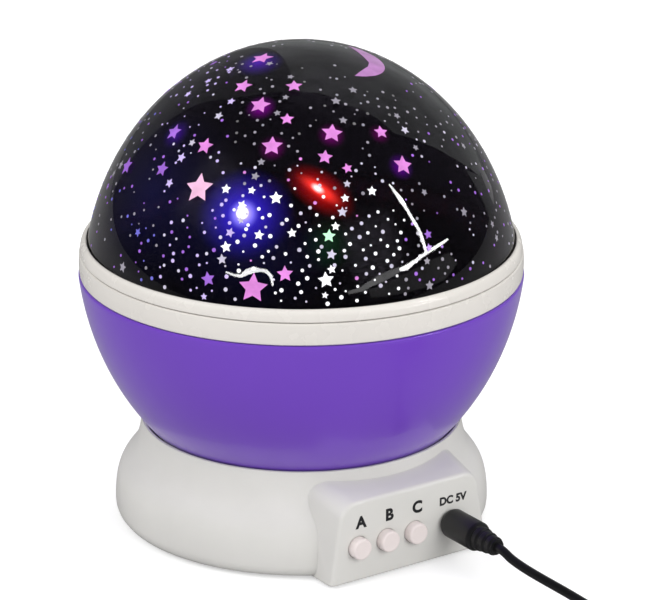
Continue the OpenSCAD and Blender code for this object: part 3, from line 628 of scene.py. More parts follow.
class NIGHTLIGHT_OT_stage(bpy.types.Operator):
    """Camera, floor, world and lamps"""

    bl_idname = "nightlight.stage"
    bl_label = "Stage"

    def execute(self, context):
        scene = context.scene
        s = scene.nightlight_shape
        scene.view_settings.view_transform = "Standard"
        lens = bpy.data.cameras.new("camera")
        lens.lens = CAMERA_LENS
        lens.sensor_width = SENSOR
        lens.shift_x = (PHOTO_W / 2 - AXIS_PX) / PHOTO_W
        lens.clip_end = 20.0
        camera = linked("camera", lens)
        camera.location = around(0, CAMERA_OUT, CAMERA_HIGH)
        aim(camera, CAMERA_AIM)
        scene.camera = camera
        self.world(scene)
        self.floor()
        for lamp in SOFTBOXES:
            softbox(*lamp)
        for name, strength, columns in SWEEPS:
            edges = [(turn, math.radians(rise)) for turn, *rises in columns for rise in rises]
            verts = [around(turn, SWEEP_OUT * math.cos(rise), SWEEP_Z + SWEEP_OUT * math.sin(rise))
                     for turn, rise in edges]
            reflected_card(name, verts, strength, SWEEP_TONE)
        for name, strength, points in STREAKS:
            reflected_card(name, [mirrored(s, px, py) for px, py in band(points)], strength)
        return {"FINISHED"}

    def world(self, scene):
        """White for what shows behind, soft light for the plastics, dim in the gloss."""
        scene.world = bpy.data.worlds.new("studio")
        n = Nodes(scene.world)
        level = n.for_gloss(WORLD_LEVEL, WORLD_MIRRORED)
        strength = n.math("MAXIMUM", level, n.seen())
        n.feed(n.tree.nodes["Background"], {"Color": WHITE, "Strength": strength})

    def floor(self):
        """A white floor that keeps a soft part of the shadow."""
        corners = ((-1, -1), (1, -1), (1, 1), (-1, 1))
        verts = [(x * FLOOR_HALF, y * FLOOR_HALF, 0) for x, y in corners]
        floor = new_object("floor", verts, [[0, 1, 2, 3]])
        n = Nodes(bpy.data.materials.new("floor_paper"))
        n.paint({
            "Base Color": n.for_gloss(FLOOR_LEVEL, FLOOR_MIRRORED),
            "Roughness": 0.9,
            "Specular IOR Level": 0.1,
            "Emission Color": WHITE,
            "Emission Strength": n.math("MULTIPLY", n.seen(), FLOOR_LIFT),
        })
        tint(floor, n.owner)


# ---------------------------------------------------------------- lead

# The lead's route, the coil and the far plug, in millimetres.
CORD_D = 2.5
LEAD_ROUTE = [
    (13.3, -73.2, 10.4), (13.3, -74.2, 10.4), (13.3, -75.2, 10.4), (13.45, -76.8, 9.95),
    (13.8, -79.0, 9.0), (14.5, -82.6, 8.0), (15.7, -86.6, 6.9), (17.4, -91.0, 5.6),
    (19.4, -96.0, 4.1), (20.9, -103.0, 2.8), (21.6, -112.0, 2.15), (21.9, -122.0, 2.15),
    (22.0, -133.0, 2.15), (22.0, -143.0, 2.15), (22.0, -147.5, 2.15),
]
ROUTE_STEPS = 4
COIL_IN_R = 9.5
COIL_PITCH = 3.0
COIL_LAYERS = 4
COIL_TURNS_IN_LAYER = 3
COIL_OUT_R = COIL_IN_R + COIL_TURNS_IN_LAYER * COIL_PITCH
COIL_X, COIL_Y, COIL_Z = 22.0, -150.0, 2.15
COIL_STEPS = 48
USB_X, USB_Z, USB_TAIL = 17.0, 4.0, 25.0
USB_STRAIGHT = 2.5
TAIL_STEPS = 20
# The plug's tail: ribs, their radius at each end and how deep the grooves between them are.
TAIL_RIBS = 3
RIB_WIDE, RIB_THIN, RIB_DEEP = 3.3 * MM, 2.6 * MM, 0.4 * MM
PLUG_CORNER, BARREL_SEAT = 0.35 * MM, 4.9 * MM


def ease(s):
    """A smooth step from 0 to 1."""
    s = min(max(s, 0.0), 1.0)
    return 3 * s * s - 2 * s**3


def spline(points, steps):
    """A smooth line through points."""
    out = []
    last = len(points) - 1
    for i in range(last):
        near = (i - 1, i, i + 1, i + 2)
        a, b, c, d = (Vector(points[min(max(j, 0), last)]) for j in near)
        for t in spaced(0, 1, steps)[:-1]:
            out.append(0.5 * (2 * b + (c - a) * t + (2 * a - 5 * b + 4 * c - d) * t * t
                              + (3 * b - a - 3 * c + d) * t**3))
    return out + [Vector(points[-1])]


def coil_point(t):
    """The coil after t turns: it spirals in and out, and climbs for half a turn in between."""
    layer = min(int(t // COIL_TURNS_IN_LAYER), COIL_LAYERS - 1)
    s = t - layer * COIL_TURNS_IN_LAYER
    r = COIL_OUT_R - s * COIL_PITCH if layer % 2 == 0 else COIL_IN_R + s * COIL_PITCH
    past = [t - k * COIL_TURNS_IN_LAYER for k in range(1, COIL_LAYERS)]
    climbed = sum(min(max(p * 2 + 0.5, 0), 1) for p in past)
    a = math.pi + 2 * math.pi * t
    return Vector((COIL_X + COIL_OUT_R + r * math.cos(a), COIL_Y + r * math.sin(a),
                   COIL_Z + COIL_PITCH * climbed))


def lead_line():
    """The lead's centreline in metres: the free stretch, the coil and the tail to the far plug."""
    line = spline(LEAD_ROUTE, ROUTE_STEPS)
    turns = COIL_LAYERS * COIL_TURNS_IN_LAYER
    line += [coil_point(i / COIL_STEPS) for i in range(COIL_STEPS * turns + 1)]
    top = coil_point(turns).z
    for s in spaced(0, 1, TAIL_STEPS)[1:]:
        line.append(Vector((COIL_X + (USB_X - COIL_X) * ease(s),
                            COIL_Y - s * (USB_TAIL - USB_STRAIGHT),
                            top + (USB_Z - top) * ease((s - 0.2) / 0.8))))
    line.append(Vector((USB_X, COIL_Y - USB_TAIL, USB_Z)))
    return [p * MM for p in line]


class NIGHTLIGHT_OT_lead(bpy.types.Operator):
    """The lead with its round plug, its coil and the plug at its far end"""

    bl_idname = "nightlight.lead"
    bl_label = "Lead"

    def execute(self, context):
        tones = context.scene.nightlight_colours
        rubber = plastic("lead_rubber", tones.lead, 0.42, grain=0.03, spread=0.12)
        line = lead_line()
        curve = bpy.data.curves.new("lead", "CURVE")
        curve.dimensions = "3D"
        curve.bevel_depth = CORD_D * MM / 2
        curve.bevel_resolution = 4
        curve.use_fill_caps = True
        path = curve.splines.new("POLY")
        path.points.add(len(line) - 1)
        for point, where in zip(path.points, line):
            point.co = (*where, 1.0)
        path.use_smooth = True
        lead = linked("lead", curve)
        place(lead, [rubber], "lead", "black_rubber", "lead_cable", "lead_coil")
        plug = self.piece("plug_body", "dc_plug_body", self.plug_outline, rubber)
        tail = self.piece("plug_tail", "dc_plug_relief", self.tail_outline, rubber)
        dress(rubber, "usb_plug_body", "cord_tie")
        nickel = metal("nickel", (0.75, 0.74, 0.72), 0.22)
        dress(nickel, "dc_plug_barrel", "usb_plug_shell")
        dress(plastic("tongue_white", (0.8, 0.8, 0.78), 0.4), "usb_plug_tongue")
        return {"FINISHED"}

    def piece(self, name, node, outline, rubber):
        """A round piece on the plug's axis, with softened corners."""
        low, high = size_of(node)
        near, far = PANEL_FRONT - high.y, PANEL_FRONT - low.y
        points = rounded(outline(near, far, (high.x - low.x) / 2), PLUG_CORNER)
        obj = turned(name, points, (JACK_X, PANEL_FRONT, ROW_Z), 90)
        return place(obj, [rubber], "lead", "black_rubber", node)

    def plug_outline(self, near, far, r):
        """Radius and distance from the panel. The hole takes the plug's barrel."""
        low, high = size_of("dc_plug_barrel")
        hole = (high.x - low.x) / 2
        return [(hole, near)] + offsets(r, near, (-1.1, 0), (-0.35, 0.5), (0, 1.4)) + offsets(
            r, far, (0, -1.2), (-0.4, -0.3), (-0.9, 0)) + [
            (0, far), (0, near + BARREL_SEAT), (hole, near + BARREL_SEAT)]

    def tail_outline(self, near, far, r):
        """The same for the ribbed tail, whose ribs get thinner outward."""
        pitch = (far - near) / TAIL_RIBS
        outline = [(0, near)]
        for k in range(TAIL_RIBS):
            r = RIB_WIDE + (RIB_THIN - RIB_WIDE) * k / (TAIL_RIBS - 1)
            start = near + k * pitch
            outline += offsets(r, start, (-0.1, 0), (0, 0.3))
            outline += offsets(r, start + pitch, (0, -0.8))
            outline += offsets(r - RIB_DEEP, start + pitch, (0, -0.6), (0, -0.1))
        return outline + [(RIB_THIN - RIB_DEEP, far), (0, far)]


# ---------------------------------------------------------------- base

# Heights of the deck over the hollow base and of the dish's floor, and the chamber's radius.
DECK_Z, DISH_Z, CHAMBER_R = 15.2 * MM, 17.2 * MM, 36 * MM
DISH_WALL_Z = 23.0 * MM
BOWL_GAP = 0.5 * MM
BUTTON_HOLE_R, JACK_HOLE_R, HOLE_DEEP = 3.08 * MM, 3.05 * MM, 4 * MM
COLUMN_HOLE_R, SHAFT_HOLE_R = 5.0 * MM, 3.5 * MM
HOLE_LOW_Z, HOLE_HIGH_Z = 14 * MM, 19 * MM


class NIGHTLIGHT_OT_base(bpy.types.Operator):
    """The base housing with its control panel, and its cover, door and feet"""

    bl_idname = "nightlight.base"
    bl_label = "Base"

    def execute(self, context):
        s, tones = settings(context)
        low, rim_z = HOUSING_LOW.z, HOUSING_HIGH.z
        outer = offsets(s.base_r, low, (-1.9, 0), (-1.1, 0.35), (-0.45, 1.2), (-0.1, 2.2))
        outer += bezier((s.rim_r, rim_z), (s.rim_r + 1.1 * MM, rim_z - 15.1 * MM),
                        (s.base_r, s.base_wide_z + 15.9 * MM), (s.base_r, s.base_wide_z), 28)[::-1]
        lip = offsets(s.rim_r, rim_z, (-0.12, -0.05), (-0.3, 0))
        housing = lathe("base_shell", [(0, low)] + outer + lip + [(0, rim_z)])
        carve(housing, self.panel_block(s, low), "UNION")
        for tool in [self.hollow(s, low, outer), self.panel_room(s, low), self.dish(s, rim_z),
                     *self.holes()]:
            carve(housing, tool)
        soften(housing, 32.0)
        shell = plastic("base_plastic", tones.base, 0.34, grain=0.04, spread=0.05, coat=0.15,
                        edge=0.6)
        place(housing, [shell], "base", "base_plastic", "base_housing")
        dress(shell, "bottom_cover", "battery_door")
        dress(plastic("foot_rubber", (0.10, 0.10, 0.10), 0.7, grain=0.1), "rubber_feet")
        return {"FINISHED"}

    def arch(self, y, half_w, flare, bottom, top, corner):
        """Points of a plate across Y with two round upper corners."""
        out = [(-half_w - flare, y, bottom), (half_w + flare, y, bottom)]
        for side, start in ((1, 0), (-1, 90)):
            bend = arc(side * (half_w - corner), top - corner, corner, start, start + 90, 12)
            out += [(x, y, z) for x, z in bend]
        return out

    def panel_block(self, s, low):
        """The panel's outside: a rounded front edge, then flaring sides up to the ball."""
        points = []
        half, top = s.panel_w / 2, low + s.panel_h
        for a in spaced(0, 90, 5):
            inset = s.panel_edge * (1 - math.sin(math.radians(a)))
            depth = s.panel_edge * (1 - math.cos(math.radians(a)))
            points += self.arch(PANEL_FRONT + depth, half - inset, s.panel_flare, low,
                                top - inset, s.panel_corner - inset)
        wider = 1.4 * MM
        points += self.arch(-s.rim_r + 7.0 * MM, half + wider, s.panel_flare - wider, low,
                            top + s.panel_rise, s.panel_corner + 0.5 * MM)
        return hull_of("panel_block", points)

    def panel_room(self, s, low):
        half = s.panel_w / 2 - s.base_wall
        front, top = PANEL_FRONT + s.base_wall, low + s.panel_h - s.base_wall
        below = low - MM
        side = ((front, below), (front, top), (front + MM, top), (-CHAMBER_R, below),
                (-CHAMBER_R, DECK_Z))
        return hull_of("panel_room", [(x, y, z) for x in (-half, half) for y, z in side])

    def hollow(self, s, low, outer):
        inside = [(r - s.base_wall, z) for r, z in outer if 3.2 * MM < z < DECK_Z + 5.4 * MM]
        mouth = s.base_r - 4.1 * MM
        return lathe("hollow", [(0, low - MM)] + offsets(mouth, low, (0, -1), (0, 2)) + inside
                     + offsets(CHAMBER_R, DECK_Z, (5, 5.5), (2.4, 0)) + [(0, DECK_Z)])

    def dish(self, s, rim_z):
        """The room over the deck, in which the bowl turns."""
        walls = [(bowl_r(s, z) + BOWL_GAP, z) for z in spaced(DISH_WALL_Z, rim_z + MM, 13)]
        over = rim_z + 4 * MM
        return lathe("dish", [(0, DISH_Z), (CHAMBER_R, DISH_Z)] + walls
                     + [(walls[-1][0], over), (0, over)])

    def holes(self):
        """Cutters for the buttons, the jack, the lamp column and the motor's shaft."""
        ends = (PANEL_FRONT - MM, PANEL_FRONT + HOLE_DEEP)
        spots = [(middle_of(node)[0], BUTTON_HOLE_R) for node in BUTTONS] + [(JACK_X, JACK_HOLE_R)]
        out = [rod(*((x, y, ROW_Z) for y in ends), r) for x, r in spots]
        shaft_x, shaft_y, _ = middle_of("motor_shaft")
        for x, y, r in ((0, 0, COLUMN_HOLE_R), (shaft_x, shaft_y, SHAFT_HOLE_R)):
            out.append(rod((x, y, HOLE_LOW_Z), (x, y, HOLE_HIGH_Z), r))
        return out


# ---------------------------------------------------------------- buttons

CAP_R, COLLAR_R, STEM_R, CAP_EDGE = 3.0 * MM, 3.7 * MM, 1.6 * MM, 0.6 * MM
COLLAR_IN = PANEL_FRONT + 2.2 * MM
# The typeface's size for characters of height 1, how bold it is set, and the ink's half depth.
TYPE_SIZE, TYPE_BOLD, INK_DEEP = 1.42, 0.065, 0.02 * MM
# The marks: text, piece's name, place along X, height over the row, and height of the characters.
MARKS = [(node[-1].upper(), "letter_" + node[-1], middle_of(node)[0] + 1.0 * MM, 6.8, 3.2)
         for node in BUTTONS] + [("DC 5V", "letters_supply", JACK_X + 0.7 * MM, 6.4, 2.2)]


class NIGHTLIGHT_OT_buttons(bpy.types.Operator):
    """The three push buttons and the letters printed over them"""

    bl_idname = "nightlight.buttons"
    bl_label = "Buttons"

    def execute(self, context):
        tones = context.scene.nightlight_colours
        cap = plastic("button_plastic", tones.button, 0.32, spread=0.03, coat=0.2)
        ink = plastic("panel_ink", tones.ink, 0.5, spread=0.1)
        for node in BUTTONS:
            self.button(node, cap)
        for text, name, x, over, high in MARKS:
            self.letter(text, name, x, ROW_Z + over * MM, high * MM, ink)
        return {"FINISHED"}

    def button(self, node, cap):
        """A round cap with a softened edge and a faintly dished face, on its collar and stem."""
        low, high = size_of(node)
        front, deep = low.y, high.y - low.y
        collar = COLLAR_IN - front
        outline = [(0, 0.15 * MM), (CAP_R - 0.9 * MM, 0)]
        outline += arc(CAP_R - CAP_EDGE, CAP_EDGE, CAP_EDGE, -90, 0, 6)
        outline += [(CAP_R, collar), (COLLAR_R, collar), (COLLAR_R, collar + 0.8 * MM),
                    (STEM_R, collar + 0.8 * MM), (STEM_R, deep), (0, deep)]
        obj = turned(node + "_cap", outline, (middle_of(node)[0], front, ROW_Z), -90)
        place(obj, [cap], node, "button_plastic", node)

    def letter(self, text, name, x, z, high, ink):
        """Printed characters, a thin layer of ink on the panel's face."""
        font = bpy.data.curves.new(name, "FONT")
        font.body = text
        font.size = high * TYPE_SIZE
        font.align_x = "CENTER"
        font.align_y = "CENTER"
        font.extrude = INK_DEEP
        font.offset = TYPE_BOLD * high
        font.resolution_u = 6
        holder = linked(name + "_type", font)
        graph = bpy.context.evaluated_depsgraph_get()
        mesh = bpy.data.meshes.new_from_object(holder.evaluated_get(graph))
        bpy.data.objects.remove(holder)
        upright = Matrix.Rotation(math.radians(90), 4, "X")
        mesh.transform(Matrix.Translation((x, PANEL_FRONT, z)) @ upright)
        mesh.name = name
        place(linked(name, mesh), [ink], "base", "black_plastic")


# ---------------------------------------------------------------- ball

BOWL_BEVEL, BOWL_BORE = 0.4 * MM, 6.2 * MM
BEVEL_ANGLES = (0.5, 1.0, 1.57)


class NIGHTLIGHT_OT_ball(bpy.types.Operator):
    """The violet bowl and the white ring in its two halves"""

    bl_idname = "nightlight.ball"
    bl_label = "Ball"

    def execute(self, context):
        s, tones = settings(context)
        shell = plastic("bowl_plastic", tones.bowl, 0.30, spread=0.03, coat=0.25)
        Nodes(shell).paint({"Sheen Weight": 0.22, "Sheen Roughness": 0.4})
        ring = plastic("ring_plastic", tones.ring, 0.26, spread=0.025, coat=0.35, edge=0.4)
        for name, outline, angle, finish, slot, body, node in (
            ("bowl_shell", self.bowl(s), 30.0, shell, "bowl_plastic", "ball", "bowl"),
            ("ring_lower", self.lower(s), 38.0, ring, "ring_plastic", "ball", "lower_ring"),
            ("ring_upper", self.upper(s), 38.0, ring, "ring_plastic", "dome", "upper_ring"),
        ):
            place(lathe(name, outline, LARGE_STEPS, angle), [finish], body, slot, node)
        return {"FINISHED"}

    def bowl(self, s):
        """Outline of the bowl: outside, top edge, inside and the hole for the column."""
        low, top = (corner.z for corner in size_of("bowl"))
        floor, bend = low + s.bowl_wall, top - BOWL_BEVEL
        outer = [(bowl_r(s, z), z) for z in spaced(low, bend, 40)]
        edge = outer[-1][0] - BOWL_BEVEL
        outer += [(edge + BOWL_BEVEL * math.cos(a), bend + BOWL_BEVEL * math.sin(a))
                  for a in BEVEL_ANGLES]
        inner = [(bowl_r(s, z) - s.bowl_wall, z) for z in spaced(floor, top, 30)[::-1]]
        return outer + inner + [(BOWL_BORE, floor), (BOWL_BORE, low)]

    def lower(self, s):
        """Outline of the ring's lower half, with a spigot in the bowl and a ledge inside."""
        r, z, top = LOWER_HIGH.x, LOWER_LOW.z + 3 * MM, LOWER_HIGH.z
        spigot = bowl_r(s, z - 3 * MM) - s.bowl_wall - 0.1 * MM
        ledge, bore = z + 2.6 * MM, s.skirt_r + 0.05 * MM
        return (offsets(spigot, z, (-2, -3), (0, -3), (0, 0))
                + offsets(r, z, (-0.4, 0), (-0.15, 0.25), (-0.08, 1.0), (0, 2.6), (-0.05, 4.4))
                + offsets(r, top, (-0.15, -0.35), (-0.5, 0)) + [(bore, top), (bore, ledge)]
                + offsets(s.skirt_r, ledge, (-4, 0), (-4, -2)))

    def upper(self, s):
        """Outline of the ring's upper half, which holds the dome and stands in the lower half."""
        split = LOWER_HIGH.z + 0.1 * MM
        high = size_of("upper_ring")[1]
        r, top, seat = high.x, high.z, high.z - 1.5 * MM
        foot = dome_r(s, seat) + 0.1 * MM
        skirt_in, low = s.skirt_r - 1.8 * MM, LOWER_LOW.z + 5.6 * MM + 0.3 * MM
        side = bezier((r, split + 0.25 * MM), (r - 0.05 * MM, split + 1.9 * MM),
                      (foot + 1.3 * MM, top - 0.05 * MM), (foot + 0.2 * MM, top), 12)
        return ([(skirt_in, low), (s.skirt_r, low), (s.skirt_r, split), (r - 0.35 * MM, split)]
                + side + [(foot, top - 0.1 * MM), (foot, seat)]
                + offsets(skirt_in, seat, (1.4, 0), (0, -1.4)))


# ---------------------------------------------------------------- dome

DOME_STEPS = 56
# Painted glow: emission at fixed places on the dome's inner face, painted light of the LEDs
# and painted glow round some stars. Pixel, glow colour, strength, reach along and across in
# millimetres, and lean in degrees.
PAINTED_GLOWS = (
    (242, 213, (0.06, 0.03, 1.0), 3.4, 14.0, 13.0, 0),
    (242, 213, (0.5, 0.45, 1.0), 8.0, 4.4, 4.4, 0),
    (241, 212, (1.0, 1.0, 1.0), 60.0, 1.9, 1.9, 0),
    (321, 189, (1.0, 0.006, 0.004), 3.0, 11.0, 6.0, -38),
    (320, 188, (1.0, 0.05, 0.03), 7.0, 8.0, 2.4, -38),
    (318, 187, (1.0, 0.45, 0.4), 22.0, 2.4, 1.3, -38),
    (329, 243, (0.02, 0.20, 0.05), 0.42, 8.0, 8.5, 0),
    (150, 190, (0.02, 0.02, 0.16), 0.7, 34.0, 30.0, 0),
    (258, 60, (0.10, 0.01, 0.6), 2.6, 8.0, 7.0, 0),
    (240, 250, (0.01, 0.01, 0.10), 0.8, 30.0, 18.0, 0),
    (260, 105, (0.5, 0.0, 0.6), 2.0, 4.6, 4.6, 0),
    (272, 146, (0.5, 0.0, 0.4), 1.4, 4.2, 4.2, 0),
    (332, 133, (0.5, 0.0, 0.4), 1.6, 4.2, 4.2, 0),
    (403, 165, (0.25, 0.0, 0.6), 2.0, 4.2, 4.2, 0),
    (381, 132, (0.5, 0.0, 0.35), 1.0, 3.4, 3.4, 0),
    (174, 132, (0.12, 0.02, 0.6), 1.6, 5.0, 5.0, 0),
)
# How deep each painted glow reaches through the wall, and how steeply it falls off.
PAINTED_GLOW_DEEP = 12 * MM
PAINTED_GLOW_FALL = 1.8


class NIGHTLIGHT_OT_dome(bpy.types.Operator):
    """The dark see-through dome"""

    bl_idname = "nightlight.dome"
    bl_label = "Dome"

    def execute(self, context):
        s, tones = settings(context)
        seat, top = DOME_LOW.z, DOME_HIGH.z
        rises = [math.sin(math.pi / 2 * k / DOME_STEPS) for k in range(DOME_STEPS)]
        outer = [seat + (top - seat) * rise for rise in rises]
        inner = [seat + (top - seat - s.dome_wall) * rise for rise in reversed(rises)]
        dome = lathe("dome_cover", [(dome_r(s, z), z) for z in outer]
                     + [(0, top), (0, top - s.dome_wall)]
                     + [(dome_r(s, z, s.dome_wall), z) for z in inner], LARGE_STEPS, 30.0)
        clear = self.glass("dome_outside", tones.dome, 0.03)
        frosted_with_painted_glow = self.glass("dome_inside_painted_glow", tones.dome, 0.16)
        # The rough inner face also gets painted glow: emission at fixed places.
        self.paint_glows(frosted_with_painted_glow, s)
        place(dome, [clear.owner, frosted_with_painted_glow.owner], "dome", "dome_plastic", "dome_shell")
        for face in dome.data.polygons:
            x, y, z = face.center
            face.material_index = math.hypot(x, y) < dome_r(s, z, s.dome_wall / 2)
        return {"FINISHED"}

    def glass(self, name, tone, rough):
        """Dark tinted plastic. Its inner face is a little rough and spreads the light."""
        n = Nodes(bpy.data.materials.new(name))
        n.paint({
            "Base Color": n.ramp(n.noise(40.0, 4.0), shade(tone, 0.92), shade(tone, 1.08)),
            "Roughness": n.span(n.noise(160.0, 5.0), rough * 0.8, rough * 1.25),
            "Transmission Weight": 1.0,
            "IOR": 1.49,
        })
        return n

    def paint_glows(self, n, s):
        """Paints glow on the inner face as emission: painted light of the LEDs and round some
        stars.
        """
        total = (0, 0, 0)
        spot = n.place()
        for px, py, tone, strength, along, across, lean in PAINTED_GLOWS:
            centre = on_dome(s, px, py)
            out, side, up = dome_frame(s, centre)
            turn = math.radians(lean)
            axis = math.cos(turn) * side + math.sin(turn) * up
            fit = n.add("Mapping", {
                "Vector": spot,
                "Location": centre - out * s.dome_wall,
                "Rotation": Matrix((axis, out.cross(axis), out)).transposed().to_euler(),
                "Scale": (along * MM, across * MM, PAINTED_GLOW_DEEP),
            }, vector_type="TEXTURE")
            ball = n.add("TexGradient", {"Vector": fit.outputs["Vector"]},
                         gradient_type="SPHERICAL")
            soft = n.math("POWER", ball.outputs["Fac"], PAINTED_GLOW_FALL)
            glow = n.add("VectorMath", {0: [c * strength for c in tone], "Scale": soft},
                         operation="SCALE")
            both = n.add("VectorMath", {0: total, 1: glow.outputs["Vector"]})
            total = both.outputs["Vector"]
        n.paint({"Emission Color": total, "Emission Strength": 1.0})


# ---------------------------------------------------------------- the printed sky

# Stars that stand out in the photograph: pixel, size in millimetres, tone.
MAIN_STARS = (
    (262, 58, 3.1, "pink"), (243, 86, 2.6, "pink"), (294, 86, 2.3, "pink"),
    (260, 105, 2.9, "pink"), (287, 119, 1.9, "pink"), (174, 132, 2.5, "violet"),
    (205, 146, 2.5, "pink"), (272, 146, 2.9, "pink"), (332, 133, 2.9, "pink"),
    (381, 132, 2.0, "pink"), (325, 157, 2.1, "pink"), (403, 165, 2.8, "pink"),
    (199, 188, 4.2, "rose"), (127, 166, 2.6, "violet"), (162, 169, 2.2, "violet"),
    (253, 288, 4.0, "pink"), (285, 274, 2.2, "pink"), (208, 279, 2.0, "violet"),
    (276, 198, 1.8, "white"), (226, 189, 1.4, "white"), (226, 247, 1.6, "white"),
    (259, 235, 1.4, "white"), (326, 280, 2.2, "white"), (372, 191, 1.4, "white"),
    (464, 212, 1.4, "grey"), (353, 90, 1.3, "grey"), (329, 236, 1.8, "green"),
    (292, 233, 1.3, "white"),
)
CLEAR_OF_STAR = 0.9 * MM
# The crescent: pixel, width from horn to horn, depth of its back and of its hollow, lean, and
# how far it stands from its pixel along and up.
MOON_PX = (371, 65)
MOON_W, MOON_BACK, MOON_HOLLOW, MOON_LEAN = 22.5 * MM, 9.3 * MM, 4.6 * MM, 20.0
MOON_U, MOON_V = 0.5 * MM, 5.6 * MM
# Ink tones: base colour, painted glow colour, painted glow strength.
SKY_TONES = {
    "white": ((0.9, 0.9, 0.95), (0.95, 0.93, 1.0), 0.85),
    "soft": ((0.6, 0.58, 0.66), (0.62, 0.56, 0.78), 0.5),
    "grey": ((0.36, 0.34, 0.4), (0.30, 0.28, 0.33), 0.42),
    "dim": ((0.2, 0.2, 0.2), (0.14, 0.13, 0.15), 0.4),
    "lilac": ((0.6, 0.5, 0.8), (0.55, 0.42, 0.88), 0.6),
    "violet": ((0.35, 0.16, 0.6), (0.34, 0.12, 0.72), 0.55),
    "blue": ((0.2, 0.2, 0.6), (0.14, 0.12, 0.75), 0.5),
    "pink": ((0.75, 0.28, 0.7), (0.60, 0.18, 0.62), 0.55),
    "rose": ((0.85, 0.5, 0.7), (0.82, 0.45, 0.66), 0.6),
    "green": ((0.5, 0.9, 0.6), (0.45, 0.9, 0.55), 0.7),
    "moon": ((0.55, 0.25, 0.58), (0.40, 0.14, 0.44), 0.42),
}
# Tones of the small print, each with its upper share of the draws: far left, left, right,
# well lit, faintly lit, and elsewhere. The paler tones where light falls are painted light.
SHARES = (
    ((0.35, "violet"), (0.55, "blue"), (1, "grey")),
    ((0.5, "lilac"), (0.7, "violet"), (1, "soft")),
    ((0.25, "violet"), (0.45, "soft"), (1, "grey")),
    ((0.7, "white"), (0.96, "soft"), (1, "pink")),
    ((0.6, "soft"), (0.92, "grey"), (1, "pink")),
    ((0.8, "grey"), (1, "dim")),
)
DOT_SIZES = (0.55, 0.75, 0.9, 1.0, 1.1)
DOT_SIDES = 8
STAR_SIZES = (0.8, 1.3)
STAR_INNER = 0.5
# A star over this radius is bent to the dome in two rings. The ink's underside is in the wall.
BENT_STAR_R = 1.5 * MM
INK_SUNK = 0.02 * MM
# How far stars lean, in degrees, and how far small print strays: up, as a share of the dome's
# half height, and round, in radians.
STAR_LEAN, SMALL_LEAN = 9, 16
STRAY_UP, STRAY_ROUND = 0.006, 0.022
# Where the small print starts over the dome's seat, and its top, as shares of the half height.
PRINT_FOOT, PRINT_TOP, PRINT_END = 2.6 * MM, 0.995, 0.998
# Share of the places that are printed where no lamp light reaches, and the size of dots there:
# fewer and smaller dots there are painted shade.
DARK_SHARE, DARK_SIZE = 0.38, 0.8
GOLDEN_ANGLE = math.pi * (3 - math.sqrt(5))


def ink_with_painted_glow(tone):
    """Ink with painted glow: uneven emission that stands for the light inside shining through,
    under the dome's gloss.
    """
    body, glow, strength = SKY_TONES[tone]
    n = Nodes(bpy.data.materials.new("sky_" + tone))
    cloud = n.noise(240.0, 4.0)
    n.paint({
        "Base Color": n.ramp(cloud, shade(body, 0.5), shade(body, 0.65)),
        # Painted light: the ink's emission stands for the LEDs' light coming through it.
        "Emission Color": n.ramp(cloud, shade(glow, 0.75), shade(glow, 1.1)),
        "Emission Strength": strength,
        "Roughness": 0.12,
        "Coat Weight": 0.5,
    })
    return n.owner


